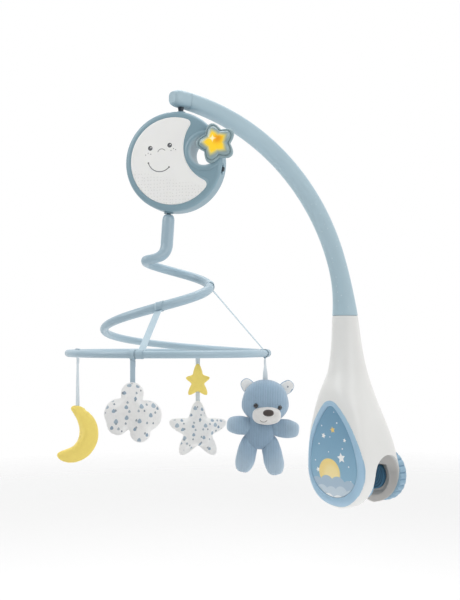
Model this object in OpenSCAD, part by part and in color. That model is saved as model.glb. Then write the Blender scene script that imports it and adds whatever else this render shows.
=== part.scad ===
// Crib mobile: rail clamp stand, bowed arm, round moon lamp and a spiral hoop with hanging toys.
// Millimetres. Origin: middle of the fixed rail pad's face. +Z up, -Y over the crib, X along the rail.

/* [Rail clamp] */
// Clear room for the rail between the fixed pad and the open clamp pad
rail_room = 56; // [48:1:62]
// Thickness of the fixed rubber pad
fixed_pad_t = 7; // [5:0.5:9]
// Top of the arched slot above the pad middle
slot_top = 39; // [36:0.5:41]
// Radius of the moving clamp pad
clamp_pad_r = 22; // [18:0.5:24]
// Thickness of the moving clamp pad
clamp_pad_t = 6; // [4:0.5:7]
// Travel of the moving clamp pad
clamp_stroke = 34; // [24:1:34]
// Radius of the clamp screw
screw_r = 6; // [5:0.5:7]
// Outer radius of the scalloped knob
knob_r = 42; // [36:0.5:43]
// Thickness of the knob wheel
knob_t = 19; // [14:0.5:22]
// Number of scallops around the knob
knob_scallops = 24; // [18:1:26]

/* [Base] */
// Full width of the drop-shaped base
base_w = 117; // [110:1:122]
// Depth of the base below the pad middle
base_low = 43; // [41:0.5:46]
// Height of the neck's top above the pad middle
neck_top = 249; // [238:1:258]
// Radius of the neck at its top
neck_r = 19.4; // [18.5:0.1:21]
// Width of the blue drop frame
bezel_w = 114; // [106:0.5:115]
// Width of the blue band around the picture
bezel_band = 9; // [8:0.5:10]

/* [Arm] */
// Reach of the arm from the neck to its end
arm_reach = 331; // [315:1:345]
// Rise of the arm above the neck
arm_rise = 274; // [264:1:284]
// Wall of the two arm shells
arm_wall = 2.4; // [2:0.1:3]

/* [Lamp] */
// Radius of the round lamp
lamp_r = 64; // [62:0.5:68]
// Depth of the front half of the lamp
lamp_front = 15; // [14.5:0.5:17]
// Depth of the rear half of the lamp
lamp_rear = 19; // [19:0.5:21]
// Turn of the lamp about the vertical, in degrees
lamp_turn = 37; // [0:1:60]
// Outer radius of the glowing star
star_r = 26; // [25:0.5:27.5]
// Press travel of the star
star_press = 1.5; // [1:0.1:1.6]
// Travel of the slide switch each way
switch_travel = 2.5; // [1.5:0.1:3]

/* [Drive] */
// Gear module
gear_module = 0.9; // [0.85:0.01:0.92]
// Teeth on the spindle gear
gear_teeth = 22; // [20:1:22]
// Teeth on the motor pinion
pinion_teeth = 12; // [11:1:13]
// Radius of the spindle
spindle_r = 2.5; // [2.2:0.1:2.8]

/* [Carousel] */
// Radius of the hoop's centre line
hoop_r = 128; // [115:1:135]
// Radius of the hoop's tube
hoop_tube = 4.5; // [4:0.1:5]
// Drop from the spindle's mouth to the hoop
hoop_drop = 182; // [170:1:195]
// Height of the first coil above the hoop
coil_rise = 118; // [105:1:125]
// Radius of the stem's tube
stem_r = 8; // [7:0.1:9]
// Width of the two flat straps
strap_w = 9; // [7:0.5:10]

/* [Pendants] */
// Width of the toy ribbons
ribbon_w = 6.5; // [5:0.5:8]
// Thickness of the ribbons
ribbon_t = 0.8; // [0.6:0.1:1]
// Scale of the soft toys
toy_scale = 1; // [0.9:0.01:1.05]

/* [Fits] */
// Radial clearance of turning and sliding pairs
run_gap = 0.05; // [0.03:0.01:0.08]
// Clearance between loose neighbours
free_gap = 0.3; // [0.3:0.05:0.5]
// Clearance of seated pieces
seat_gap = 0.05; // [0.02:0.01:0.1]

/* [Hidden] */
// Neck axis and the slot's walls along Y
neck_y = -9;
slot_front = -fixed_pad_t;
slot_rear = rail_room + 1;
slot_r = (slot_rear - slot_front) / 2;
dish_floor = slot_rear + 7;
base_back = dish_floor + 4;
// Clamp stations along Y
clamp_pad_back = rail_room + clamp_pad_t;
hub_r = screw_r + 5;
hub_start = clamp_pad_back + 0.4;
knob_front = base_back + 4;
knob_back = knob_front + knob_t;
scallop_r = PI * knob_r / knob_scallops;
screw_l = clamp_stroke + 8.5;
cap_end = clamp_pad_back + screw_l + 3;
// Picture panel plane
panel_tilt = 3.5;
panel_z = 16;
panel_y = -37.4;
bezel_t = 8;
drop_rb = bezel_w / 2;
drop_ra = drop_rb * 0.25;
drop_rise = drop_rb * 1.6;
drop_rs = drop_rb * 3;
// Arm
socket_r = neck_r - 4.4;
socket_depth = 42;
tip_y = neck_y - arm_reach;
arm_foot = 3.7;
arm_a = arm_reach / cos(arm_foot);
arm_b = arm_rise / (1 - sin(arm_foot));
tip_angle = 85.8;
pin_y = tip_y + 14.4;
tip_z = neck_top + arm_rise;
tip_low = tip_z - 11;
pin_r = 2.4;
// Lamp frame: x to the right, y up, z out of the face
hook_x = 6.7;
spindle_x = -9.5;
lamp_gap = 7.8;
lamp_z = tip_low - lamp_gap - sqrt(lamp_r * lamp_r - hook_x * hook_x);
lamp_xy = [-hook_x * cos(lamp_turn), pin_y - hook_x * sin(lamp_turn)];
lamp_wall = 2.4;
face_wall = 4;
face_in = lamp_front - face_wall;
back_in = -lamp_rear + 2.5;
lamp_in = lamp_r - lamp_wall;
hole_at = [lamp_r - 22.8, 11.4];
hole_r = 18;
lip_r = 4.5;
star_at = [lamp_r - 6.5, 20.5];
star_peg = star_at + [-8.8, 11.4];
star_turn = 105;
star_band = 5;
crescent_r = lamp_r - 8;
bite_at = [lamp_r - 8, 19];
bite_r = 44;
glass_t = 3;
bush_r = 6;
hook_y = sqrt(lamp_r * lamp_r - hook_x * hook_x);
mouth_y = -sqrt(lamp_r * lamp_r - spindle_x * spindle_x);
switch_angle = -10;
switch_z = 5;
cells_at = [-0.26 * lamp_r, lamp_r - 54];
cell_r = 7.1;
cell_l = 50;
cell_pitch = 14.8;
cell_z = back_in + cell_r + 0.4;
tray_z = cell_z + cell_r + 0.3;
board_z = tray_z + 5;
screw_spots = [for (a = [72, 132, 212, 283.5]) (lamp_r - 12) * [cos(a), sin(a)]];
door_tab = cells_at + [0, 29];
speaker_at = [lamp_r - 40, 32 - lamp_r];
// Drive stations along the lamp's y
gear_r = gear_module * gear_teeth / 2;
pinion_r = gear_module * pinion_teeth / 2;
gear_top = mouth_y + 20.27;
gear_t = 4;
plate_y = gear_top + 1;
plate_t = 2;
pinion_x = spindle_x - gear_r - pinion_r;
motor_r = 9.5;
motor_l = cells_at[1] - 1.5 * cell_pitch - 6.3 - plate_y - plate_t;
// Carousel
axis_xy = lamp_xy + spindle_x * [cos(lamp_turn), sin(lamp_turn)];
mouth_z = lamp_z + mouth_y;
stem_top = mouth_z - 3;
hoop_z = mouth_z - hoop_drop;
coil_top = hoop_z + coil_rise;
// The camera-side directions that the toys and the spiral are laid out from
view_turn = 49;
strap_gap = 0.5;
bear_at = 34;
stars_at = 124;
moon_at = 214;
cloud_at = 304;
$fn = 64;

// Smooth curve through rows of numbers: column k at position t of the first column
function span(rows, t, i = 0) = i >= len(rows) - 2 || t <= rows[i + 1][0] ? i : span(rows, t, i + 1);
function rise(rows, i, k) = let(a = max(i - 1, 0), b = min(i + 1, len(rows) - 1))
  (rows[b][k] - rows[a][k]) / (rows[b][0] - rows[a][0]);
function smooth(rows, t, k) = let(i = span(rows, t), h = rows[i + 1][0] - rows[i][0], u = (t - rows[i][0]) / h)
  (2 * u * u * u - 3 * u * u + 1) * rows[i][k] + (u * u * u - 2 * u * u + u) * h * rise(rows, i, k)
  + (3 * u * u - 2 * u * u * u) * rows[i + 1][k] + (u * u * u - u * u) * h * rise(rows, i + 1, k);
function ease(u) = u * u * (3 - 2 * u);
function unit(v) = v / norm(v);
// Rounded power of a sine or cosine, for boxy ovals
function boxy(c, n) = sign(c) * pow(abs(c), 2 / n);

// Closed solid through a row of rings, each ring anticlockwise seen from the row's far end
module loft(rings) {
  n = len(rings[0]);
  last = len(rings) - 1;
  polyhedron(points = [for (r = rings) each r], faces = concat(
    [[for (j = [0 : n - 1]) j]],
    [for (i = [0 : last - 1]) for (j = [0 : n - 1]) [i * n + j, (i + 1) * n + j, (i + 1) * n + (j + 1) % n]],
    [for (i = [0 : last - 1]) for (j = [0 : n - 1]) [i * n + j, (i + 1) * n + (j + 1) % n, i * n + (j + 1) % n]],
    [[for (j = [n - 1 : -1 : 0]) last * n + j]]));
}

// Half a pipe through rows of outer and inner rings
module shell_loft(outer, inner) {
  n = len(outer[0]);
  last = len(outer) - 1;
  rings = [for (i = [0 : last]) concat(outer[i], [for (j = [n - 1 : -1 : 0]) inner[i][j]])];
  m = 2 * n;
  polyhedron(points = [for (r = rings) each r], faces = concat(
    [for (j = [0 : n - 2]) [j, j + 1, m - 2 - j, m - 1 - j]],
    [for (i = [0 : last - 1]) for (j = [0 : m - 1]) [i * m + j, (i + 1) * m + j, (i + 1) * m + (j + 1) % m]],
    [for (i = [0 : last - 1]) for (j = [0 : m - 1]) [i * m + j, (i + 1) * m + (j + 1) % m, i * m + (j + 1) % m]],
    [for (j = [0 : n - 2]) [last * m + m - 1 - j, last * m + m - 2 - j, last * m + j + 1, last * m + j]]));
}

// Base: stations of height, half width, front, back and the boxiness of the back and of the front
base_mid = base_w / 2 - base_low;
function panel_line(z) = panel_y + (panel_z - z) * tan(panel_tilt);
base_rows = [
  [base_mid, base_w * 0.5, panel_line(base_mid), base_back, 4, 8],
  [base_mid + 30, base_w * 0.48, panel_line(base_mid + 30), base_back - 6.5, 3.7, 7.5],
  [neck_top * 0.3, base_w * 0.447, panel_line(neck_top * 0.3), base_back - 15.5, 3.3, 6],
  [neck_top * 0.4, base_w * 0.398, panel_line(neck_top * 0.4) + 0.3, base_back - 23.5, 2.9, 4.5],
  [neck_top * 0.53, base_w * 0.312, panel_line(neck_top * 0.4) - 0.4, neck_y + neck_r * 2.33, 2.5, 3],
  [neck_top * 0.66, neck_r * 1.44, neck_y - neck_r * 1.27, neck_y + neck_r * 1.88, 2.2, 2.3],
  [neck_top * 0.8, neck_r * 1.2, neck_y - neck_r * 1.09, neck_y + neck_r * 1.47, 2, 2],
  [neck_top, neck_r, neck_y - neck_r, neck_y + neck_r, 2, 2]];
base_points = 48;
function base_half(z) = z > base_mid ? smooth(base_rows, z, 1)
  : sqrt(max(base_w * base_w / 4 - (z - base_mid) * (z - base_mid), 49));
function foot(z) = z > base_mid - 30 ? 0 : 11 * pow((base_mid - 30 - z) / (base_w / 2 - 30), 3);
function base_front(z) = z > base_mid ? smooth(base_rows, z, 2) : panel_line(z) + foot(z);
function base_rear(z) = z > base_mid ? smooth(base_rows, z, 3) : base_back - foot(z);
function base_n(z, k) = smooth(base_rows, max(z, base_mid), k);
function base_ring(z) = let(a = base_half(z), f = base_front(z), b = base_rear(z), c = (f + b) / 2)
  [for (j = [0 : base_points - 1]) let(t = 360 * (j + 0.5) / base_points, n = base_n(z, t < 180 ? 4 : 5))
    [a * boxy(cos(t), n), c + (b - c) * boxy(sin(t), n), z]];
base_heights = concat([for (k = [0 : 8]) base_mid - base_w / 2 * cos(6 + 10.5 * k)],
  [for (k = [1 : 16]) base_mid + (neck_top - base_mid) * k / 16]);

module base_form() {
  loft([for (z = base_heights) base_ring(z)]);
}

module on_panel(depth = 0) {
  translate([0, panel_y, panel_z])
    rotate([90 + panel_tilt, 0, 0])
      translate([0, 0, depth])
        children();
}

// Drop outline from three tangent arcs a side, drawn inset by a distance
drop_cy = ((drop_rs - drop_rb) * (drop_rs - drop_rb) - (drop_rs - drop_ra) * (drop_rs - drop_ra)
  + drop_rise * drop_rise) / (2 * drop_rise);
drop_cx = sqrt((drop_rs - drop_rb) * (drop_rs - drop_rb) - drop_cy * drop_cy);
drop_low_angle = atan2(-drop_cy, drop_cx);
drop_top_angle = atan2(drop_rise - drop_cy, drop_cx);
function arc(c, r, a0, a1, steps) = [for (k = [0 : steps]) let(a = a0 + (a1 - a0) * k / steps)
  c + r * [cos(a), sin(a)]];
function drop_side(inset) = concat(
  arc([0, 0], drop_rb - inset, -90, drop_low_angle, 12),
  arc([-drop_cx, drop_cy], drop_rs - inset, drop_low_angle + 3, drop_top_angle - 3, 8),
  arc([0, drop_rise], drop_ra - inset, drop_top_angle, 90, 6));
function drop(inset) = let(side = drop_side(inset))
  concat(side, [for (k = [len(side) - 2 : -1 : 1]) [-side[k][0], side[k][1]]]);

// Rail slot: straight walls under an arch, right through along X
module rail_slot(inset) {
  rotate([90, 0, 90])
    linear_extrude(2 * base_w, center = true)
      union() {
        translate([(slot_front + slot_rear) / 2, slot_top - slot_r])
          circle(slot_r - inset);
        translate([slot_front + inset, -2 * base_low])
          square([2 * (slot_r - inset), 2 * base_low + slot_top - slot_r]);
      }
}

// White vase-shaped housing with the rail slot and the dished rear jaw
module base_housing() {
  color("#f2f1ee")
    difference() {
      base_form();
      on_panel(-bezel_t)
        linear_extrude(60)
          polygon(drop(-seat_gap));
      on_panel(-bezel_t - 9)
        cylinder(r = drop_rb - bezel_band - 9, h = 9.5);
      rail_slot(0);
      rotate([-90, 0, 0])
        translate([0, 0, slot_rear - 1])
          cylinder(r1 = clamp_pad_r + 11.3, r2 = clamp_pad_r + 3, h = dish_floor - slot_rear + 1);
      rotate([-90, 0, 0])
        translate([0, 0, slot_rear - slot_r])
          cylinder(r = clamp_pad_r + 1, h = slot_r);
      rotate([-90, 0, 0])
        cylinder(r = hub_r + run_gap, h = base_back + 20);
      translate([0, neck_y, neck_top - socket_depth])
        cylinder(r = socket_r + seat_gap, h = socket_depth + 10);
      translate([0, neck_y + 9, slot_top + 14])
        cylinder(r1 = 27, r2 = 10, h = neck_top - socket_depth - slot_top - 13);
    }
}

// Blue drop frame, the front slice of the same form
module drop_bezel() {
  color("#8fb0cf")
    difference() {
      intersection() {
        base_form();
        on_panel(-bezel_t)
          linear_extrude(60)
            polygon(drop(0));
      }
      on_panel(-bezel_t - 1)
        linear_extrude(80)
          polygon(drop(bezel_band));
    }
}

// Printed picture plate set back inside the frame
module picture_panel() {
  color("#5f87a8")
    on_panel(-bezel_t)
      linear_extrude(bezel_t - 2)
        polygon(drop(bezel_band + seat_gap));
}

module pad_outline(inset) {
  r = 20 - inset;
  union() {
    square([60, 12 + 2 * r], center = true);
    square([60 + 2 * r, 12], center = true);
    for (x = [-30, 30])
      for (y = [-6, 6])
        translate([x, y])
          circle(r);
  }
}

// Rubber pad on the slot's front wall, following the arch above it
module fixed_pad() {
  color("#9dbcd8")
    intersection() {
      rotate([-90, 0, 0])
        union() {
          translate([0, 0, slot_front])
            linear_extrude(fixed_pad_t - 1.5)
              pad_outline(0);
          translate([0, 0, -1.5])
            linear_extrude(1.5)
              pad_outline(1.5);
        }
      rail_slot(seat_gap);
    }
}

// Arm: stations of the sweep angle and the diameter, and the boxiness of the section
arm_rows = [[arm_foot, 2 * neck_r, 2], [8, 33.6, 2.1], [13, 29.2, 2.2], [19, 26.8, 2.3], [45, 25, 2.6],
  [65, 23.5, 2.8], [80, 21.8, 3], [90, 20.8, 3.2]];
function arm_at(t) = [0, tip_y + arm_a * cos(t), neck_top + arm_b * (sin(t) - sin(arm_foot))];
// Outward way of a section: level at the neck, square to the sweep from 12 degrees on
function arm_up(t) = unit([0, arm_b * cos(t), arm_a * sin(t) * min(1, (t - arm_foot) / 12)]);
function arm_point(t, a, inset) = let(r = smooth(arm_rows, t, 1) / 2 - inset, n = smooth(arm_rows, t, 2))
  arm_at(t) + r * boxy(sin(a), n) * [1, 0, 0] + r * boxy(cos(a), n) * arm_up(t);
arm_sides = 10;
function half_ring(t, inset) = [for (j = [0 : arm_sides]) arm_point(t, 180 * j / arm_sides, inset)];
arm_steps = [for (k = [0 : 24]) arm_foot + (tip_angle - arm_foot) * k / 24];

module arm_half() {
  shell_loft([for (t = arm_steps) half_ring(t, 0)], [for (t = arm_steps) half_ring(t, arm_wall)]);
}

// Right and left halves of the hollow arm, joined on the centre plane
module arm_right() {
  color("#86a9ca")
    arm_half();
}

module arm_left() {
  color("#86a9ca")
    mirror([1, 0, 0])
      arm_half();
}

// Solid plug that joins the two halves into the neck's socket
module arm_plug() {
  color("#7597b8")
    translate([0, neck_y, neck_top])
      union() {
        translate([0, 0, -socket_depth])
          cylinder(r = socket_r, h = socket_depth);
        translate([0, -0.6, 0])
          cylinder(r1 = neck_r - arm_wall - 0.9, r2 = neck_r - arm_wall - 4.6, h = 16);
      }
}

function full_ring(t, inset) = [for (j = [0 : 2 * arm_sides - 1]) arm_point(t, 180 * j / arm_sides, inset)];

// Solid end of the arm that carries the hanger pin
module arm_tip() {
  color("#86a9ca")
    difference() {
      loft([for (k = [0 : 6]) let(u = k / 6)
        full_ring(tip_angle + (90 - tip_angle) * u, 5 * (1 - sqrt(1 - pow(max(u * 1.9 - 0.95, 0), 2))))]);
      translate([0, pin_y, tip_z - 40])
        cylinder(r = pin_r + seat_gap, h = 42);
    }
}

// Dark headed pin that the lamp hangs and turns on
module hanger_pin() {
  color("#3a4656")
    translate([0, pin_y, lamp_z])
      union() {
        translate([0, 0, hook_y - 13])
          cylinder(r = 4.2, h = 3);
        translate([0, 0, hook_y - 10.5])
          cylinder(r = pin_r, h = tip_z - lamp_z - hook_y + 12.5);
        translate([0, 0, hook_y + 2.2])
          cylinder(r1 = pin_r + 0.6, r2 = pin_r + 1.6, h = lamp_gap - 2.3);
      }
}

// Scalloped hand knob with its long threaded hub
module clamp_knob() {
  color("#7fa3c6")
    rotate([-90, 0, 0])
      difference() {
        union() {
          translate([0, 0, knob_front])
            intersection() {
              linear_extrude(knob_t)
                union() {
                  circle(knob_r - 4);
                  for (k = [0 : knob_scallops - 1])
                    rotate(360 * k / knob_scallops)
                      translate([knob_r - scallop_r, 0])
                        circle(scallop_r);
                }
              rotate_extrude()
                polygon([[0, 0], [knob_r - 3, 0], [knob_r - 0.6, 1.6], [knob_r, 4], [knob_r, knob_t - 6],
                  [knob_r - 1.2, knob_t - 2.6], [knob_r - 4.5, knob_t - 0.4], [knob_r - 8, knob_t], [0, knob_t]]);
            }
          translate([0, 0, hub_start])
            cylinder(r = hub_r, h = knob_front - hub_start + 1);
          translate([0, 0, knob_back - 1])
            cylinder(r1 = hub_r + 3, r2 = hub_r + 1, h = cap_end - knob_back + 1);
        }
        translate([0, 0, hub_start - 1])
          cylinder(r = screw_r + run_gap, h = cap_end - hub_start - 1.5);
      }
}

// Snap ring that keeps the knob's hub in the rear jaw
module knob_ring() {
  color("#3f4a58")
    rotate([-90, 0, 0])
      translate([0, 0, hub_start])
        difference() {
          cylinder(r = hub_r + 4, h = dish_floor - free_gap - hub_start);
          translate([0, 0, -1])
            cylinder(r = hub_r + seat_gap, h = 10);
        }
}

// Round pad that the knob drives against the rail
module clamp_pad() {
  color("#2f5577")
    rotate([-90, 0, 0])
      translate([0, 0, rail_room])
        union() {
          cylinder(r1 = clamp_pad_r - 1.5, r2 = clamp_pad_r, h = 1.5);
          translate([0, 0, 1.5])
            cylinder(r = clamp_pad_r, h = clamp_pad_t - 1.5);
        }
}

// Clamp screw on the pad's back
module clamp_screw() {
  color("#8b9097")
    rotate([-90, 0, 0])
      translate([0, 0, clamp_pad_back])
        cylinder(r = screw_r, h = screw_l);
}

module in_lamp(at = [0, 0, 0]) {
  translate([lamp_xy[0], lamp_xy[1], lamp_z])
    rotate([0, 0, lamp_turn])
      rotate([90, 0, 0])
        translate(at)
          children();
}

// Cylinder along the lamp's upright direction
module upright(x, y, h, r) {
  translate([x, y, 0])
    rotate([-90, 0, 0])
      cylinder(r = r, h = h);
}

module crescent(inset) {
  offset(delta = -inset)
    offset(r = 6)
      offset(delta = -6)
        difference() {
          circle(crescent_r, $fn = 120);
          translate(bite_at)
            circle(bite_r, $fn = 96);
        }
}

module star_outline(inset) {
  offset(r = 4.5 - inset, $fn = 32)
    rotate(star_turn)
      polygon([for (k = [0 : 9]) let(r = k % 2 == 0 ? star_r - 4.5 : star_r * 0.5)
        r * [cos(36 * k), sin(36 * k)]]);
}

module bush_notches() {
  upright(hook_x, hook_y - 30, 60, bush_r + seat_gap);
  upright(spindle_x, mouth_y - 30, 60, bush_r + seat_gap);
}

module switch_frame() {
  rotate(switch_angle)
    translate([lamp_r, 0, switch_z])
      children();
}

// Ring-like front shell with the window for the moon and the lipped hole
module lamp_front_shell() {
  color("#8196ac")
    in_lamp()
      difference() {
        union() {
          difference() {
            rotate_extrude()
              union() {
                square([lamp_r - 6, lamp_front]);
                square([lamp_r, lamp_front - 6]);
                translate([lamp_r - 6, lamp_front - 6])
                  circle(6);
              }
            difference() {
              translate([0, 0, -1])
                cylinder(r = lamp_in, h = face_in + 1);
              translate([hole_at[0], hole_at[1], -2])
                cylinder(r = hole_r + 3, h = 40);
            }
          }
          for (p = screw_spots)
            translate([p[0], p[1], 0])
              cylinder(r = 3.6, h = face_in);
          intersection() {
            translate([hole_at[0], hole_at[1], lamp_front - 2.4])
              rotate_extrude()
                translate([hole_r + lip_r - 0.6, 0])
                  circle(lip_r);
            translate([0, 0, face_in])
              cylinder(r = lamp_r - 1.2, h = 40);
          }
        }
        translate([hole_at[0], hole_at[1], -2])
          cylinder(r = hole_r, h = 40);
        translate([0, 0, lamp_front - glass_t])
          linear_extrude(20)
            crescent(0);
        translate([0, 0, face_in - 1])
          linear_extrude(20)
            crescent(3);
        translate([star_at[0], star_at[1], lamp_front])
          linear_extrude(20)
            star_outline(-seat_gap);
        translate([star_peg[0], star_peg[1], 0])
          cylinder(r = 2.5 + seat_gap, h = 40);
        for (p = screw_spots)
          translate([p[0], p[1], -1])
            cylinder(r = 1.4 + seat_gap, h = face_in - 1);
        bush_notches();
        switch_frame()
          cube([20, 5 + 2 * switch_travel + 2 * free_gap, 4 + 2 * free_gap], center = true);
        switch_frame()
          translate([4.2, 0, 0])
            cube([10, 9 + 2 * switch_travel, 8], center = true);
      }
}

// Rear shell with the battery bay, the door's ledge and the screw posts
module lamp_rear_shell() {
  color("#7e93aa")
    in_lamp()
      difference() {
        union() {
          difference() {
            translate([0, 0, -lamp_rear])
              rotate_extrude()
                union() {
                  square([lamp_r - 8, lamp_rear]);
                  translate([0, 8])
                    square([lamp_r, lamp_rear - 8]);
                  translate([lamp_r - 8, 8])
                    circle(8);
                }
            difference() {
              union() {
                translate([0, 0, back_in])
                  cylinder(r = lamp_in - 3, h = 40);
                translate([0, 0, back_in + 6])
                  cylinder(r = lamp_in, h = 40);
              }
              translate([hole_at[0], hole_at[1], -30])
                cylinder(r = hole_r + 3, h = 80);
            }
          }
          for (p = screw_spots)
            translate([p[0], p[1], back_in - 0.5])
              cylinder(r = 4, h = -back_in + 0.5);
          translate([door_tab[0], door_tab[1], back_in - 0.5])
            cylinder(r = 4.5, h = 9);
        }
        translate([hole_at[0], hole_at[1], -30])
          cylinder(r = hole_r, h = 80);
        door_space(back_in - 2, 0, 2.4);
        door_space(-lamp_rear - 1, seat_gap, 0, 2.5);
        for (p = screw_spots)
          translate([p[0], p[1], -lamp_rear - 1]) {
            cylinder(r = 1.4 + seat_gap, h = 40);
            cylinder(r = 3 + seat_gap, h = 3);
          }
        translate([door_tab[0], door_tab[1], -lamp_rear - 1])
          cylinder(r = 1.3 + seat_gap, h = 10);
        bush_notches();
      }
}

door_w = cell_l + 1;
door_h = 3 * cell_pitch + 2;

// Room for the battery door: the plate, less a ledge where one is given
module door_space(z, grow, ledge, h = 6) {
  translate([cells_at[0], cells_at[1], z + h / 2])
    cube([door_w - 2 * ledge + 2 * grow, door_h - 2 * ledge + 2 * grow, h], center = true);
  if (ledge == 0)
    translate([door_tab[0], door_tab[1], z])
      cylinder(r = 6 + grow, h = h);
}

// Battery door with its screw tab
module battery_door() {
  color("#768ba2")
    in_lamp()
      difference() {
        door_space(-lamp_rear, 0, 0, 1.5);
        translate([door_tab[0], door_tab[1], -lamp_rear - 1])
          cylinder(r = 1.3 + seat_gap, h = 10);
        translate([door_tab[0], door_tab[1], -lamp_rear - 0.1])
          cylinder(r = 2.8 + seat_gap, h = 0.9);
      }
}

// Screw that closes the battery door
module door_screw() {
  color("#b9bdc2")
    in_lamp([door_tab[0], door_tab[1], -lamp_rear])
      union() {
        cylinder(r = 2.8, h = 0.8);
        cylinder(r = 1.3, h = 8.5);
      }
}

// Four screws that hold the lamp's shells together
module shell_screws() {
  color("#b9bdc2")
    in_lamp()
      for (p = screw_spots)
        translate([p[0], p[1], -lamp_rear + 0.5])
          union() {
            cylinder(r = 3, h = 1.5);
            cylinder(r = 1.4, h = lamp_rear + face_in - 4);
          }
}

// White moon cover that glows, with its thin raised edge
module moon_diffuser() {
  color("#f6f4ee")
    in_lamp([0, 0, lamp_front - glass_t])
      union() {
        linear_extrude(glass_t - 0.8)
          crescent(seat_gap);
        linear_extrude(glass_t + 0.3)
          difference() {
            crescent(seat_gap);
            crescent(1.6);
          }
      }
}

module bush(x, y0, y1, bore) {
  difference() {
    upright(x, y0, y1 - y0, bush_r);
    upright(x, y0 - 1, y1 - y0 + 2, bore);
  }
}

// Bush that the hanger pin turns in
module hanger_bush() {
  color("#6c8096")
    in_lamp()
      bush(hook_x, hook_y - 9, hook_y + 1.8, pin_r + run_gap);
}

// Bush that the spindle turns in
module spindle_bush() {
  color("#6c8096")
    in_lamp()
      bush(spindle_x, mouth_y - 1.8, mouth_y + 9, spindle_r + run_gap);
}

// Tray between the cells and the circuit board
module battery_tray() {
  color("#55606c")
    in_lamp()
      union() {
        translate([cells_at[0], cells_at[1], tray_z + 1])
          cube([cell_l + 6, 3 * cell_pitch, 2], center = true);
        for (side = [-1, 1]) {
          translate([cells_at[0] + side * (cell_l / 2 + 1.8), cells_at[1], (back_in + tray_z) / 2 + 0.5])
            cube([2.4, 3 * cell_pitch, tray_z - back_in + 1], center = true);
          for (up = [-1, 1])
            translate([cells_at[0] + side * 19, cells_at[1] + up * 17, tray_z + 1])
              cylinder(r = 2, h = board_z - tray_z - 1);
        }
      }
}

// Three cells side by side, each with its raised end
module battery_cells() {
  color("#4d7f58")
    in_lamp()
      for (k = [-1 : 1])
        translate([cells_at[0] - cell_l / 2 + 0.6, cells_at[1] + k * cell_pitch, cell_z])
          rotate([0, 90, 0])
            union() {
              cylinder(r = cell_r, h = cell_l - 2);
              cylinder(r = 2.6, h = cell_l - 0.6);
            }
}

// Board that lights the moon and plays the tunes
module circuit_board() {
  color("#3d6b4e")
    in_lamp([cells_at[0], cells_at[1], board_z + 0.8])
      cube([46, 42, 1.6], center = true);
}

// Lamps on the board
module lamp_leds() {
  color("#ffe9b0")
    in_lamp([cells_at[0], cells_at[1], board_z + 1.6])
      for (k = [-1 : 1])
        translate([14 * k, 0, 0])
          cylinder(r = 2.5, h = min(2.8, face_in - board_z - 2));
}

// Round speaker behind the lower moon
module speaker() {
  color("#34383e")
    in_lamp([speaker_at[0], speaker_at[1], face_in - 9])
      union() {
        cylinder(r = 9, h = 5);
        translate([0, 0, 4])
          cylinder(r1 = 9, r2 = 14, h = 3);
        translate([0, 0, 7])
          cylinder(r = 14, h = 2);
      }
}

// Plate that carries the motor over the gears
module gear_plate() {
  color("#9aa1a8")
    in_lamp()
      difference() {
        translate([spindle_x - 26, plate_y, back_in])
          cube([36, plate_t, -back_in + 8]);
        upright(spindle_x, plate_y - 1, 4, spindle_r + run_gap);
        upright(pinion_x, plate_y - 1, 4, 3);
      }
}

// Small geared motor standing on the plate
module gear_motor() {
  color("#a9adb2")
    in_lamp()
      difference() {
        union() {
          upright(pinion_x, plate_y + plate_t, motor_l, motor_r);
          upright(pinion_x, plate_y + plate_t + motor_l - 1, 3, 3);
        }
        upright(pinion_x, plate_y, 10, 1 + run_gap);
      }
}

// Involute outline of a small stub-toothed gear
function inv(r, base) = let(a = acos(min(base / r, 1))) tan(a) * 180 / PI - a;
module gear_outline(teeth) {
  pitch = gear_module * teeth / 2;
  base = pitch * cos(20);
  top = pitch + 0.72 * gear_module;
  root = pitch - 0.95 * gear_module;
  half = 90 / teeth - 0.09 / pitch * 180 / PI + inv(pitch, base);
  low = max(base, root);
  polygon([for (k = [0 : teeth - 1]) let(c = 360 * k / teeth) each concat(
    [root * [cos(c - half), sin(c - half)]],
    [for (i = [0 : 4]) let(r = low + (top - low) * i / 4, a = c - half + inv(r, base)) r * [cos(a), sin(a)]],
    [for (i = [4 : -1 : 0]) let(r = low + (top - low) * i / 4, a = c + half - inv(r, base)) r * [cos(a), sin(a)]],
    [root * [cos(c + half), sin(c + half)]])]);
}

module gear_solid(x, y, h, teeth, turn) {
  translate([x, y, 0])
    rotate([-90, 0, 0])
      rotate(turn)
        linear_extrude(h)
          gear_outline(teeth);
}

// Pinion and shaft of the motor
module motor_pinion() {
  color("#d8cfae")
    in_lamp()
      union() {
        gear_solid(pinion_x, gear_top - gear_t, gear_t, pinion_teeth, 180 / pinion_teeth * (1 - gear_teeth % 2));
        upright(pinion_x, gear_top - gear_t - 2, gear_t + 12, 1);
      }
}

// Gear on the spindle
module spindle_gear() {
  color("#e5dfcb")
    in_lamp()
      difference() {
        gear_solid(spindle_x, gear_top - gear_t, gear_t, gear_teeth, 0);
        upright(spindle_x, gear_top - gear_t - 1, gear_t + 2, spindle_r);
      }
}

// Spindle with the shoulder that the hoop's weight rests on
module spindle() {
  color("#3a4656")
    in_lamp()
      union() {
        upright(spindle_x, mouth_y - 10, plate_y + plate_t + 2 - mouth_y + 10, spindle_r);
        upright(spindle_x, mouth_y + 9 + free_gap, gear_top - gear_t - mouth_y - 9 - free_gap, 4.5);
      }
}

// Star-shaped seat of the glowing star, pegged into the front shell
module star_base() {
  color("#a9b9c6")
    in_lamp()
      difference() {
        union() {
          translate([star_at[0], star_at[1], lamp_front])
            linear_extrude(6)
              star_outline(0);
          translate([star_peg[0], star_peg[1], face_in])
            cylinder(r = 2.5, h = face_wall + 1);
        }
        translate([star_at[0], star_at[1], lamp_front + 2])
          linear_extrude(20)
            star_outline(star_band - free_gap);
      }
}

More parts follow.
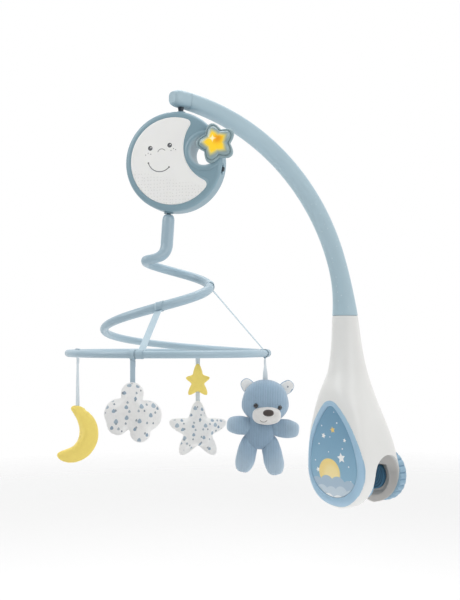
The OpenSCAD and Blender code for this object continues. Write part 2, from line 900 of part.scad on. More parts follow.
// Yellow star button that is pressed for light
module star_lens() {
  color("#f0c64a")
    in_lamp([star_at[0], star_at[1], lamp_front + 2 + free_gap + star_press])
      union() {
        linear_extrude(5)
          star_outline(star_band);
        translate([0, 0, 5])
          linear_extrude(1.2)
            star_outline(star_band + 1.2);
        translate([0, 0, 6.2])
          linear_extrude(0.8)
            star_outline(star_band + 3);
      }
}

// Slide switch in the rim, with its flange inside the wall
module slide_switch() {
  color("#4b535c")
    in_lamp()
      switch_frame()
        union() {
          translate([-0.6, 0, 0])
            cube([5.6, 5, 4], center = true);
          translate([-lamp_wall - free_gap - 1.2, 0, 0])
            cube([2, 7, 8], center = true);
        }
}

// Carousel layout: rightward, away and up from the spindle's axis as the toys face
function laid(right, away, z) = [axis_xy[0], axis_xy[1], z]
  + right * [cos(view_turn), sin(view_turn), 0] + away * [-sin(view_turn), cos(view_turn), 0];
// Spiral: half turns s from the left end of the first coil to the hoop at the right
function coil_r(s) = hoop_r * (0.234 + 0.1445 * s + 0.025 * s * s + 0.0039 * s * s * s);
function coil_at(s) = laid(-coil_r(s) * cos(180 * s), coil_r(s) * sin(180 * s),
  coil_top - (coil_top - hoop_z) * ease(s / 3));
// Stem and elbow: a curve from the spindle down into the first coil
function elbow(u) = let(a = laid(-2.5, 0, coil_top + 23), b = laid(-3.5, -1, coil_top - 3),
  c = laid(-coil_r(0) - 3, -21, coil_top + 5), d = coil_at(0))
  pow(1 - u, 3) * a + 3 * u * pow(1 - u, 2) * b + 3 * u * u * (1 - u) * c + u * u * u * d;
// One path for both: v from 0 at the stem's top, 1 at the elbow, 2 at the first coil, 5 at the hoop
function path(v) = v < 1 ? laid(0, 0, stem_top) * (1 - v) + elbow(0) * v : v < 2 ? elbow(v - 1) : coil_at(v - 2);
function along(v) = unit(path(min(v + 0.02, 4.99)) - path(max(v - 0.02, 0)));
function across(v) = let(s = max(v - 2, 0), out = laid(-cos(180 * s), sin(180 * s), 0) - laid(0, 0, 0),
  ref = out + [0, 0, 1], t = along(v)) unit(ref - (ref * t) * t);
tube_rows = [[0, 0.9], [0.06, 1], [1, 1], [1.45, 0.8], [1.8, 0.69], [2, 0.67], [2.5, 0.72], [3.4, 0.74], [4, 0.64],
  [5, 0.565]];
function tube_r(v) = stem_r * smooth(tube_rows, v, 1);
function tube_ring(v, r) = let(n = across(v), b = cross(along(v), n))
  [for (j = [0 : 11]) path(v) + r * (cos(30 * j) * n + sin(30 * j) * b)];
spiral_steps = concat([0, 0.06, 0.5, 0.9], [for (k = [0 : 8]) 1 + k / 8], [for (k = [1 : 42]) 2 + 2.93 * k / 42]);

// Least gap between the spiral's turns, measured on points a third of a turn or more apart
turn_steps = [for (k = [0 : 58]) 2 + 0.05 * k];
turn_gap = min([for (i = [0 : 44]) for (j = [i + 14 : 58])
  let(a = turn_steps[i], b = turn_steps[j]) norm(path(a) - path(b)) - tube_r(a) - tube_r(b)]);
echo(str("Least gap between the spiral's turns: ", turn_gap, " mm"));

// Stem and spiral in one tapering tube
module spiral() {
  color("#a9c6df")
    difference() {
      loft(concat([tube_ring(0, stem_r * 0.6)], [for (v = spiral_steps) tube_ring(max(v, 0.012), tube_r(v))]));
      translate([axis_xy[0], axis_xy[1], mouth_z - 10 - seat_gap])
        cylinder(r = spindle_r + seat_gap, h = 40);
    }
}

// Closed hoop that the toys hang from
module hoop() {
  color("#a9c6df")
    translate([axis_xy[0], axis_xy[1], hoop_z])
      rotate_extrude($fn = 96)
        translate([hoop_r, 0])
          circle(hoop_tube);
}

// Local frame on the hoop: x along the hoop, y towards its middle, z up
module on_hoop(angle) {
  translate([axis_xy[0], axis_xy[1], hoop_z])
    rotate(angle)
      translate([hoop_r, 0, 0])
        rotate(90)
          children();
}

module hoop_loop(w, gap) {
  rotate([0, 90, 0])
    difference() {
      cylinder(r = hoop_tube + gap + ribbon_t, h = w, center = true);
      cylinder(r = hoop_tube + gap, h = w + 2, center = true);
    }
}

// Loop around the spiral's tube at v, and a flat strap from it down to a loop on the hoop
module strap(v, angle) {
  r = tube_r(v);
  t = along(v);
  p = path(v);
  q = [axis_xy[0] + hoop_r * cos(angle), axis_xy[1] + hoop_r * sin(angle), hoop_z];
  low = [-sin(angle), cos(angle), 0];
  high = sign(low * t) * t;
  d = q - p;
  a = p + (r + strap_gap + ribbon_t * 0.5) * unit(d - (d * high) * high);
  b = q - (hoop_tube + strap_gap + ribbon_t * 0.5) * unit(d - (d * low) * low);
  union() {
    translate(p)
      rotate([0, acos(t[2]), atan2(t[1], t[0])])
        difference() {
          cylinder(r = r + strap_gap + ribbon_t, h = strap_w, center = true);
          cylinder(r = r + strap_gap, h = strap_w + 2, center = true);
        }
    on_hoop(angle)
      hoop_loop(strap_w, strap_gap);
    loft([for (e = [[a, high], [b, low]]) let(n = unit(cross(b - a, e[1])))
      [for (c = [[-1, -1], [1, -1], [1, 1], [-1, 1]])
        e[0] + c[0] * (strap_w / 2 - 0.5) * e[1] + c[1] * ribbon_t / 2 * n]]);
  }
}

// Two satin straps that tie the spiral's coils to the hoop
module strap_front() {
  color("#7c9dbd")
    strap(3.53, cloud_at + strap_step);
}

module strap_right() {
  color("#7c9dbd")
    strap(3.03, bear_at + strap_step);
}

// Angle along the hoop from a toy's ribbon to the strap beside it
strap_step = (strap_w / 2 + ribbon_w / 2 + 1) / hoop_r * 180 / PI;

// Toy ribbon: a loop on the hoop and a strip that may twist on its way down
module ribbon(angle, drop_to, twist) {
  top = hoop_tube + free_gap + ribbon_t * 0.4;
  steps = twist == 0 ? 1 : 10;
  on_hoop(angle)
    union() {
      hoop_loop(ribbon_w, free_gap);
      loft([for (k = [0 : steps]) let(u = k / steps, a = -twist * ease(1 - u), z = drop_to - (top + drop_to) * u)
        [for (c = [[-1, -1], [1, -1], [1, 1], [-1, 1]])
          [cos(a) * c[0] * ribbon_w / 2 - sin(a) * c[1] * ribbon_t / 2,
           sin(a) * c[0] * ribbon_w / 2 + cos(a) * c[1] * ribbon_t / 2, z]]]);
    }
}

// Frame of a toy under its ribbon: x to the right, y away, z up from the hoop
module toy(angle) {
  translate([axis_xy[0] + hoop_r * cos(angle), axis_xy[1] + hoop_r * sin(angle), hoop_z])
    rotate(view_turn)
      children();
}

// Soft pillow with an outline given as radii at equal angles, t deep each way
module pillow(radii, t) {
  n = len(radii);
  rows = [0.3, 0.56, 0.78, 0.93];
  m = len(rows);
  function spot(j, u, side) = [radii[j] * u * cos(360 * j / n), side * t * pow(1 - u * u, 0.62),
    radii[j] * u * sin(360 * j / n)];
  points = concat([[0, -t, 0]],
    [for (u = rows) for (j = [0 : n - 1]) spot(j, u, -1)],
    [for (j = [0 : n - 1]) spot(j, 1, 1)],
    [for (i = [m - 1 : -1 : 0]) for (j = [0 : n - 1]) spot(j, rows[i], 1)], [[0, t, 0]]);
  last = 2 * m;
  polyhedron(points = points, faces = concat(
    [for (j = [0 : n - 1]) [0, 1 + (j + 1) % n, 1 + j]],
    [for (i = [0 : last - 1]) for (j = [0 : n - 1]) [1 + i * n + j, 1 + i * n + (j + 1) % n, 1 + (i + 1) * n + j]],
    [for (i = [0 : last - 1]) for (j = [0 : n - 1])
      [1 + i * n + (j + 1) % n, 1 + (i + 1) * n + (j + 1) % n, 1 + (i + 1) * n + j]],
    [for (j = [0 : n - 1]) [1 + (last + 1) * n, 1 + last * n + j, 1 + last * n + (j + 1) % n]]));
}

// Rounded star radii, and lobed cloud radii from the circles that the cloud is drawn with
function star_edge(a, tip, dip) = tip * dip * sin(36) / (sin(a) * (tip - dip * cos(36)) + cos(a) * dip * sin(36));
function star_radius(a, tip, dip) = pow(pow(star_edge(a, tip * 1.25, dip), -8) + pow(tip, -8), -1 / 8);
function star_radii(n, tip, dip, turn) = [for (j = [0 : n - 1]) let(q = (360 * j / n - turn + 720) % 72)
  star_radius(min(q, 72 - q), tip, dip)];
lobes = [[-0.6, 20, 15], [-13, -1.5, 20], [-16.5, -12.5, 14], [14, -3.5, 19.6], [8.7, -21.8, 13], [0, 0, 21]];
function reach(p, a) = let(d = p[0] * cos(a) + p[1] * sin(a), h = p[0] * sin(a) - p[1] * cos(a))
  abs(h) < p[2] ? d + sqrt(p[2] * p[2] - h * h) : 0;
function cloud_radii(n) = [for (j = [0 : n - 1]) max([for (p = lobes) reach(p, 360 * j / n)])];

moon_top = 69;
cloud_mid = 67;
small_mid = 43;
big_mid = 113;

module moon_ribbon() {
  color("#dfe3e4")
    ribbon(moon_at, -moon_top - toy_scale * 7, 25);
}

// Yellow crescent between two circles, swept about the outer one, with blunt round ends
moon_r = 39.9;
moon_bite = [-26, 8.75, 36.3];
module moon_toy() {
  rings = [for (k = [0 : 24]) let(u = 1 - cos(180 * k / 24), a = 82 - 101.5 * u, q = reach(moon_bite, a),
    w = (moon_r - q) / 2 * max(pow(1 - pow(abs(u - 1), 12), 0.5), 0.06), r = (moon_r + q) / 2)
    [for (j = [0 : 13]) let(b = 360 * j / 14)
      [-12.3 + (r + w * cos(b)) * cos(a), w * 0.68 * sin(b), -38 + (r + w * cos(b)) * sin(a)]]];
  color("#ecd27c")
    toy(moon_at)
      translate([0, 0, -moon_top])
        scale(toy_scale)
          loft(rings);
}

module cloud_ribbon() {
  color("#dfe3e4")
    ribbon(cloud_at, -cloud_mid + toy_scale * 30, 0);
}

// White cloud
module cloud_toy() {
  color("#eef0f0")
    toy(cloud_at)
      translate([0, 0, -cloud_mid])
        pillow(toy_scale * cloud_radii(60), toy_scale * 12);
}

module star_ribbon() {
  color("#dfe3e4")
    ribbon(stars_at, -small_mid + toy_scale * 20, 0);
}

// Small yellow star, taller than it is wide
module small_star() {
  radii = [for (j = [0 : 49]) let(a = 360 * j / 50) toy_scale * star_radii(50, 26.5, 14.5, 90)[j]
    * (1 - 0.34 * cos(a) * cos(a))];
  color("#ecd27c")
    toy(stars_at)
      translate([0, 0, -small_mid])
        pillow(radii, toy_scale * 8);
}

// Short ribbon between the two stars: each half is sewn into its own star, and they meet where it bends
link_top = -small_mid - toy_scale * 9;
link_low = -big_mid + toy_scale * 36;
link_bend = link_top - 9;
module link_strip(z0, z1) {
  color("#dfe3e4")
    toy(stars_at)
      translate([0, 0, z0])
        rotate(stars_at - 90 - view_turn)
          translate([-ribbon_w / 2, -ribbon_t / 2, 0])
            cube([ribbon_w, ribbon_t, z1 - z0]);
}

module star_link_upper() {
  link_strip(link_bend + ribbon_t / 2 + free_gap, link_top);
}

module star_link_lower() {
  color("#dfe3e4")
    union() {
      link_strip(link_low, link_bend);
      toy(stars_at)
        translate([0, 0, link_bend])
          rotate([0, 90, stars_at - 90 - view_turn])
            cylinder(r = ribbon_t / 2, h = ribbon_w, center = true);
    }
}

// Large white star
module big_star() {
  color("#eef0f0")
    toy(stars_at)
      translate([0, 0, -big_mid])
        pillow(toy_scale * star_radii(60, 44, 25.5, 90), toy_scale * 11);
}

// Bear, laid out from the top of its head in the toy frame
bear_top = 33;
module bear() {
  toy(bear_at)
    translate([0, 0, -bear_top])
      scale(toy_scale)
        children();
}

// Soft roll from a to b with round ends; radii rx along the flat way and ry in depth
module roll(a, b, ra, rb, flat, sides = 14) {
  d = unit(b - a);
  n = unit(cross([0, 1, 0], d));
  l = norm(b - a);
  rows = [for (k = [0 : 10]) let(w = 180 * k / 10, s = (1 - cos(w)) / 2) [s, sin(w)]];
  loft([for (k = rows) let(z = -ra + (l + ra + rb) * k[0], r = (ra + (rb - ra) * k[0]) * max(pow(k[1], 0.8), 0.04))
    [for (j = [0 : sides - 1]) let(q = 360 * j / sides)
      a + z * d + r * cos(q) * n + r * flat * sin(q) * cross(d, n)]]);
}

module head_form() {
  loft([for (k = [0 : 12]) let(w = 180 * k / 12, z = -28 - 28 * cos(w), r = max(pow(sin(w), 0.85), 0.05))
    [for (j = [0 : 21]) let(q = 360 * j / 22) [29.3 * r * cos(q), 24 * r * sin(q), z]]]);
}

module body_form() {
  roll([-7, 0, -66], [-5, 0, -52], 21.5, 17, 0.8, 16);
}

module bear_ribbon() {
  color("#dfe3e4")
    ribbon(bear_at, -bear_top - 4, -75);
}

// Round plush head
module bear_head() {
  color("#9db3c8")
    bear()
      head_form();
}

// Body under the head
module bear_body() {
  color("#9db3c8")
    bear()
      difference() {
        body_form();
        head_form();
      }
}

module bear_limb(a, b, ra, rb) {
  color("#9db3c8")
    bear()
      difference() {
        roll(a, b, ra, rb, 0.85);
        body_form();
        head_form();
      }
}

module bear_left_arm() {
  bear_limb([-22, -3, -58], [-36, -5, -56.5], 11, 12.3);
}

module bear_right_arm() {
  bear_limb([14, -3, -60], [30, -5, -62], 11, 12.3);
}

module bear_left_leg() {
  bear_limb([-20.5, -1, -80], [-26, -4, -103], 11.5, 13);
}

module bear_right_leg() {
  bear_limb([6, -1, -80], [11.5, -4, -106], 11.5, 13.5);
}

// Two round ears
module bear_ears() {
  color("#9db3c8")
    bear()
      for (e = [[-21.5, -8.5, -38], [26.5, -10.5, 48]])
        difference() {
          translate([e[0], 4, e[1]])
            rotate([0, e[2], 0])
              roll([0, 0, -1], [0, 0, 2], 8.5, 8.5, 0.55);
          head_form();
        }
}

module muzzle_form() {
  roll([-6, -19, -45], [8, -19, -45], 11, 11, 0.95);
}

// White muzzle
module bear_muzzle() {
  color("#f0f0ee")
    bear()
      difference() {
        muzzle_form();
        head_form();
        body_form();
      }
}

// Dark nose
module bear_nose() {
  color("#4a3a36")
    bear()
      difference() {
        roll([1.2, -28, -41.5], [6.2, -28, -41.5], 4.6, 4.6, 0.9, 10);
        muzzle_form();
        head_form();
      }
}

// Two dark domed eyes that lie on the head
module bear_eyes() {
  color("#2d2a2c")
    bear()
      for (e = [[-12.3, -21.63, -31.2, -20.9, 5.9], [17.2, -18.84, -34, 31.5, 11]])
        translate([e[0], e[1], e[2]])
          rotate([0, 0, e[3]])
            rotate([90 + e[4], 0, 0])
              translate([0, 0, 0.15])
                rotate_extrude()
                  polygon(concat([[0, 0]], [for (a = [0 : 15 : 90]) [3 * cos(a), 0.3 + 1.8 * sin(a)]]));
}

base_housing();
drop_bezel();
picture_panel();
fixed_pad();
arm_left();
arm_right();
arm_plug();
arm_tip();
hanger_pin();
clamp_knob();
knob_ring();
clamp_pad();
clamp_screw();
lamp_front_shell();
lamp_rear_shell();
moon_diffuser();
hanger_bush();
spindle_bush();
shell_screws();
battery_tray();
battery_cells();
battery_door();
door_screw();
circuit_board();
lamp_leds();
speaker();
gear_plate();
gear_motor();
motor_pinion();
star_base();
star_lens();
slide_switch();
spindle();
spindle_gear();
spiral();
hoop();
strap_front();
strap_right();
moon_ribbon();
moon_toy();
cloud_ribbon();
cloud_toy();
star_ribbon();
small_star();
star_link_upper();
star_link_lower();
big_star();
bear_ribbon();
bear_head();
bear_body();
bear_left_arm();
bear_right_arm();
bear_left_leg();
bear_right_leg();
bear_ears();
bear_muzzle();
bear_nose();
bear_eyes();
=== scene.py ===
from math import atan2, copysign, cos, degrees, exp, pi, radians, sin, sqrt, tan
import bmesh
import bpy
from mathutils import Matrix, Vector, noise


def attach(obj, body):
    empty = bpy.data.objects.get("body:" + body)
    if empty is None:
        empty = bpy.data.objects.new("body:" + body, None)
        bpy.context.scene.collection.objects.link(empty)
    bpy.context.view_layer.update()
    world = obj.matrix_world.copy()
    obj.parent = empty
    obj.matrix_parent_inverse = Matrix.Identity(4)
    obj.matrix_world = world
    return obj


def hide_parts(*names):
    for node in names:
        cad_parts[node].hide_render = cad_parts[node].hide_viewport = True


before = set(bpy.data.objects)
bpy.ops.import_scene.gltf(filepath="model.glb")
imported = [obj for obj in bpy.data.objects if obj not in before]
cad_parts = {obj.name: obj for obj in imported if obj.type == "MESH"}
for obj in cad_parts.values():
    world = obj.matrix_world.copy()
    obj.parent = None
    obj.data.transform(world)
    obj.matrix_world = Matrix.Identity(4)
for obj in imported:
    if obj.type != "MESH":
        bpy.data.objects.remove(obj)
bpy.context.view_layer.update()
bpy.ops.object.select_all(action="DESELECT")

# Studio: a level camera at the hoop's height that looks across the mobile, three large soft lights, and a
# world that is brighter ahead but seen as plain white. A pale floor lies well below, because the part hangs
# on a crib rail, and fades into the background.
view_turn = radians(49)
bpy.ops.object.camera_add(location=(0.9058, -1.0289, 0.212), rotation=(radians(90), 0, view_turn))
camera = bpy.context.object
camera.data.lens = 53.2
camera.data.shift_y = 0.0667
bpy.context.scene.camera = camera
bpy.context.scene.view_settings.view_transform = "Standard"
light_target = Vector((0, -0.2, 0.25))
for place, width, power in (
        ((-0.55, -1.75, 1.25), 1.1, 14), ((1.7, -0.25, 0.9), 1.2, 10), ((-0.3, 0.2, 1.9), 1.4, 14)):
    aim = (light_target - Vector(place)).to_track_quat("-Z", "Y").to_euler()
    bpy.ops.object.light_add(type="AREA", location=place, rotation=aim)
    light = bpy.context.object.data
    light.size, light.energy = width, power
mm = 0.001


def tint(code):
    return tuple(((int(code[i:i + 2], 16) / 255 + 0.055) / 1.055) ** 2.4 for i in (0, 2, 4))


class Wire:
    """One value in a node tree; sums, products and other operators on it add Math nodes."""

    def __init__(self, nodes, socket):
        self.nodes, self.socket = nodes, socket

    def maths(self, operation, *others):
        return self.nodes.node("Math", {"operation": operation}, dict(enumerate((self, *others))))

    def __add__(self, other): return self.maths("ADD", other)
    def __radd__(self, other): return self + other
    def __sub__(self, other): return self.maths("SUBTRACT", other)
    def __rsub__(self, other): return self * -1 + other
    def __mul__(self, other): return self.maths("MULTIPLY", other)
    def __rmul__(self, other): return self * other
    def __truediv__(self, other): return self.maths("DIVIDE", other)
    def __pow__(self, other): return self.maths("POWER", other)
    def __or__(self, other): return self.maths("MAXIMUM", other)
    def __abs__(self): return self.maths("ABSOLUTE")


class Nodes:
    """The node tree of a world or a material."""

    def __init__(self, owner):
        owner.use_nodes = True
        self.tree = owner.node_tree

    def plug(self, socket, value):
        """Links a value to a socket or sets it there; a colour is a hex code or three numbers."""
        if isinstance(value, Wire):
            self.tree.links.new(value.socket, socket)
        elif socket.type == "RGBA":
            socket.default_value = (*(tint(value) if isinstance(value, str) else value), 1)
        else:
            socket.default_value = value

    def node(self, kind, settings={}, inputs={}, output=0):
        made = self.tree.nodes.new("ShaderNode" + kind)
        for key, value in settings.items():
            setattr(made, key, value)
        for key, value in inputs.items():
            self.plug(made.inputs[key], value)
        return Wire(self, made.outputs[output])

    def vector(self, operation, a, b=(0, 0, 0), output=0):
        return self.node("VectorMath", {"operation": operation}, {0: a, 1: b}, output)


class Finish(Nodes):
    """One material: a shader whose constants are set on it, and what varies is plugged in."""

    def __init__(self, name, colour, **constants):
        self.material = bpy.data.materials.new(name)
        super().__init__(self.material)
        self.shader = self.tree.nodes["Principled BSDF"]
        self.colour = tint(colour)
        self.base(self.colour)
        for key, value in constants.items():
            self.put(key.replace("_", " ").title().replace("Ior", "IOR"), value)
        self.place = self.node("TexCoord", output="Object")

    def put(self, socket, value):
        self.plug(self.shader.inputs[socket], value)

    def base(self, colour):
        self.skin = colour
        self.put("Base Color", colour)

    def paint(self, mask, colour):
        """Lays a colour over the base colour where the mask is 1."""
        self.base(self.mix(mask, self.skin, colour))

    def shade(self, factor):
        return tuple(min(c * factor, 1) for c in self.colour)

    def along(self, direction, origin=(0, 0, 0)):
        """Millimetres from origin along a direction."""
        offset = self.vector("SUBTRACT", self.place, tuple(origin))
        return self.vector("DOT_PRODUCT", offset, tuple(Vector(direction) * 1000), "Value")

    def face(self, right, origin=(0, 0, 0)):
        """Keeps the millimetres to the right (x) and up (y) on an upright face."""
        self.x, self.y = self.along(right, origin), self.along((0, 0, 1), origin)

    def grain(self, size, detail=2.0):
        """Cloudy noise from 0 to 1 with features of a size in millimetres."""
        return self.node("TexNoise", {}, {"Vector": self.place, "Scale": 1000 / size, "Detail": detail})

    def rough(self, low, span, size):
        """Roughness that rises from low by up to span, in spots of a size."""
        self.put("Roughness", low + span * self.grain(size))

    def cloudy(self, size, first, second, detail=2.0):
        """Base colour that drifts between two colours."""
        self.base(self.mix(self.grain(size, detail), first, second))

    def mix(self, mask, first, second):
        return self.node("Mix", {"data_type": "RGBA"}, {0: mask, 6: first, 7: second}, 2)

    def ramp(self, value, low, high):
        """0 below low, 1 above high, smooth between."""
        return self.node("MapRange", {"interpolation_type": "SMOOTHSTEP"},
                         {"Value": value, "From Min": low, "From Max": high})

    def relief(self, height, depth):
        """Bump of a height from 0 to 1, depth in millimetres."""
        inputs = {"Height": height, "Distance": depth * mm, "Strength": 1.0}
        self.put("Normal", self.node("Bump", {}, inputs))

    def on(self, *pieces):
        """Puts the material on pieces, or on CAD nodes by their names."""
        for piece in pieces:
            mesh = (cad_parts[piece] if isinstance(piece, str) else piece).data
            mesh.materials.clear()
            mesh.materials.append(self.material)


studio = bpy.data.worlds.new("studio")
bpy.context.scene.world = studio
world = Nodes(studio)
way = world.node("TexCoord", output="Generated")
ahead = world.vector("DOT_PRODUCT", way, (-0.46, 1.0, 0.4), "Value")
graded = world.node("MapRange", {}, {
    "Value": ahead, "From Min": -0.8, "From Max": 0.8, "To Min": 0.22, "To Max": 0.92})
sky = world.tree.nodes["Background"]
world.plug(sky.inputs["Color"], (1, 1, 1))
world.plug(sky.inputs["Strength"], graded)
backdrop = world.node("Background", {}, {"Color": (1, 1, 1)})
seen = world.node("LightPath", output="Is Camera Ray")
shown = world.node("MixShader", {}, {0: seen, 1: Wire(world, sky.outputs[0]), 2: backdrop})
world.plug(world.tree.nodes["World Output"].inputs["Surface"], shown)
bpy.ops.mesh.primitive_plane_add(size=14, location=(0, 0, -0.3))
floor = bpy.context.object
floor.name = "floor"
pale = Finish("pale_floor", "f7f7f7", roughness=0.9)
away = pale.vector("LENGTH", pale.place, output="Value")
pale.put("Alpha", pale.node("MapRange", {}, {"Value": away, "From Min": 2.8, "From Max": 0.5}))
pale.on(floor)

# Base housing: a white vase-shaped moulding that straddles the crib rail, with an arched slot, a dished
# rear jaw, the drop-shaped pocket of the picture frame and the socket of the arm. Satin plastic, one shot,
# with a warmer grey painted in the slot as painted shade.
base_w, base_low, neck_top, neck_r, neck_y = 117, 43, 249, 19.4, -9
panel_y, panel_z, panel_tilt = -37.4, 16, radians(3.5)
base_back, base_mid = 68, base_w / 2 - base_low
slot_y, slot_z, slot_r, slot_foot = 25, 7, 32, -90
drop_r = 57
drop_top = drop_r * 1.85


def smooth(rows, t, k):
    """Column k of a table at t, on a smooth curve through its rows."""
    i = 0
    while i < len(rows) - 2 and t > rows[i + 1][0]:
        i += 1

    def rise(j):
        a, b = max(j - 1, 0), min(j + 1, len(rows) - 1)
        return (rows[b][k] - rows[a][k]) / (rows[b][0] - rows[a][0])

    h = rows[i + 1][0] - rows[i][0]
    u = (t - rows[i][0]) / h
    return ((2 * u**3 - 3 * u * u + 1) * rows[i][k] + (u**3 - 2 * u * u + u) * h * rise(i)
            + (3 * u * u - 2 * u**3) * rows[i + 1][k] + (u**3 - u * u) * h * rise(i + 1))


def boxy(c, n):
    """A cosine or sine pushed outwards, from round at n = 2 towards square."""
    return copysign(abs(c) ** (2 / n), c)


def circle(count, shift=0.0):
    """Cosine and sine at even steps round a circle."""
    return [(cos(w), sin(w)) for w in (2 * pi * (j + shift) / count for j in range(count))]


def panel_line(z):
    return panel_y + (panel_z - z) * tan(panel_tilt)


base_rows = [
    (base_mid, base_w * 0.5, panel_line(base_mid), base_back, 4, 8),
    (base_mid + 30, base_w * 0.48, panel_line(base_mid + 30), base_back - 6.5, 3.7, 7.5),
    (neck_top * 0.3, base_w * 0.447, panel_line(neck_top * 0.3), base_back - 15.5, 3.3, 6),
    (neck_top * 0.4, base_w * 0.398, panel_line(neck_top * 0.4) + 0.3, base_back - 23.5, 2.9, 4.5),
    (neck_top * 0.53, base_w * 0.312, panel_line(neck_top * 0.4) - 0.4, neck_y + neck_r * 2.33, 2.5, 3),
    (neck_top * 0.66, neck_r * 1.44, neck_y - neck_r * 1.27, neck_y + neck_r * 1.88, 2.2, 2.3),
    (neck_top * 0.8, neck_r * 1.2, neck_y - neck_r * 1.09, neck_y + neck_r * 1.47, 2, 2),
    (neck_top, neck_r, neck_y - neck_r, neck_y + neck_r, 2, 2)]


def base_size(z):
    """Half width, front, rear, and the squareness of the rear and of the front, at a height."""
    if z > base_mid:
        return [smooth(base_rows, z, k) for k in (1, 2, 3, 4, 5)]
    foot = 11 * (max(base_mid - 30 - z, 0) / (base_w / 2 - 30)) ** 3
    half = sqrt(max(base_w**2 / 4 - (z - base_mid) ** 2, 49))
    return [half, panel_line(z) + foot, base_back - foot, 4, 8]


def base_ring(z):
    half, front, rear, n_rear, n_front = base_size(z)
    c = (front + rear) / 2
    ring = []
    for x, y in circle(112, 0.5):
        n = n_rear if y > 0 else n_front
        ring.append(Vector((half * boxy(x, n), c + (rear - c) * boxy(y, n), z)) * mm)
    return ring


def select_mesh():
    bpy.ops.mesh.select_all(action="SELECT")


def loft(name, rings, filled=True):
    """A circle is laid on the first ring and extruded to each next one, and the ends are filled."""
    bpy.ops.mesh.primitive_circle_add(vertices=len(rings[0]), radius=0.01)
    piece = bpy.context.object
    piece.name = piece.data.name = name
    bpy.ops.object.mode_set(mode="EDIT")
    mesh = bmesh.from_edit_mesh(piece.data)
    side = mesh.verts.layers.int.new("side")
    for j, v in enumerate(mesh.verts):
        v[side] = j
        v.co = rings[0][j]
    select_mesh()
    for ring in rings[1:]:
        bpy.ops.mesh.extrude_region_move()
        mesh = bmesh.from_edit_mesh(piece.data)
        side = mesh.verts.layers.int["side"]
        for v in mesh.verts:
            if v.select:
                v.co = ring[v[side]]
    select_mesh()
    if filled:
        bpy.ops.mesh.fill_holes(sides=0)
        select_mesh()
    bpy.ops.mesh.normals_make_consistent(inside=False)
    bpy.ops.object.mode_set(mode="OBJECT")
    bpy.ops.object.location_clear()
    bpy.ops.object.shade_smooth_by_angle(angle=radians(40))
    piece.data.attributes.remove(piece.data.attributes["side"])
    return piece


def pick(*pieces):
    """Selects these pieces alone, with the first one active."""
    bpy.ops.object.select_all(action="DESELECT")
    for piece in pieces:
        piece.select_set(True)
    bpy.context.view_layer.objects.active = pieces[0]


def apply(piece, kind, **settings):
    pick(piece)
    modifier = piece.modifiers.new(kind.lower(), kind)
    for key, value in settings.items():
        setattr(modifier, key, value)
    bpy.ops.object.modifier_apply(modifier=modifier.name)


def cut(piece, *tools):
    for tool in tools:
        apply(piece, "BOOLEAN", operation="DIFFERENCE", solver="EXACT", object=tool)
        bpy.data.objects.remove(tool)


def melt(piece, voxel, passes):
    """Fine remesh and smoothing, which rounds every edge as a mould does."""
    pick(piece)
    piece.data.remesh_voxel_size = voxel
    bpy.ops.object.voxel_remesh()
    apply(piece, "SMOOTH", factor=0.5, iterations=passes)
    bpy.ops.object.shade_smooth()


def turned(name, profile, axis, spot=(0, 0, 0)):
    """A profile of (radius, height) pairs turned about an axis through spot."""
    turn = Vector((0, 0, 1)).rotation_difference(Vector(axis))
    return loft(name, [[Vector(spot) * mm + turn @ Vector((r * c, r * s, h)) * mm for c, s in circle(64)]
                       for r, h in profile])


def drop(inset):
    """A round foot, two wide side arcs and a small round top that run into each other."""
    top_r, rise, side_r = drop_r * 0.36, drop_r * 1.49, drop_r * 2.6
    cy = ((side_r - drop_r) ** 2 - (side_r - top_r) ** 2 + rise**2) / (2 * rise)
    cx = sqrt((side_r - drop_r) ** 2 - cy**2)
    low, high = atan2(-cy, cx), atan2(rise - cy, cx)
    side = []
    for x, y, r, a, b, n in (
            (0, 0, drop_r, -pi / 2, low, 40), (-cx, cy, side_r, low, high, 40),
            (0, rise, top_r, high, pi / 2, 14)):
        for k in range(n):
            w = a + (b - a) * k / n
            side.append((x + (r - inset) * cos(w), y + (r - inset) * sin(w)))
    return side + [(0, drop_top - inset)] + [(-x, y) for x, y in side[:0:-1]]


def on_panel(x, y, depth):
    """Point of the tilted picture plane: x across, y up it, depth out of it."""
    c, s = cos(panel_tilt), sin(panel_tilt)
    return Vector((x, panel_y - depth * c - y * s, panel_z + y * c - depth * s)) * mm


heights = [base_mid - base_w / 2 * cos(radians(5 + 85 * k / 26)) for k in range(27)]
heights += [base_mid + (neck_top - base_mid) * k / 52 for k in range(1, 53)]
housing = loft("base_housing_shell", [base_ring(z) for z in heights])
slot = [(slot_y - slot_r * cos(pi * k / 40), slot_z + slot_r * sin(pi * k / 40)) for k in range(41)]
slot = [(slot_y - slot_r, slot_foot)] + slot + [(slot_y + slot_r, slot_foot)]
rail_axis = (0, 1, 0)
cut(housing,
    loft("slot_tool", [[Vector((x, y, z)) * mm for y, z in slot] for x in (-80, 80)]),
    loft("drop_tool", [[on_panel(x, y, depth) for x, y in drop(1.0)] for depth in (-8, 50)]),
    turned("dish_tool", [(33.6, 55), (25, 64)], rail_axis),
    turned("pad_way_tool", [(23, 25), (23, 57)], rail_axis),
    turned("hub_tool", [(11.3, 50), (11.3, 90)], rail_axis),
    turned("socket_tool", [(15.2, neck_top - 42), (15.2, neck_top + 10)], (0, 0, 1), (0, neck_y, 0)))
melt(housing, 0.0011, 7)


def moulded(name, colour, gloss=0.42, depth=0.02):
    """Satin moulded plastic: faint flow clouds in colour and gloss, and a fine spark-eroded skin."""
    mat = Finish(name, colour, specular_ior_level=0.45, coat_weight=0.06, coat_roughness=0.25)
    mat.cloudy(38, mat.shade(0.965), mat.shade(1.03))
    mat.rough(gloss - 0.05, 0.1, 11)
    mat.relief(mat.grain(0.8, 3.0), depth)
    return mat


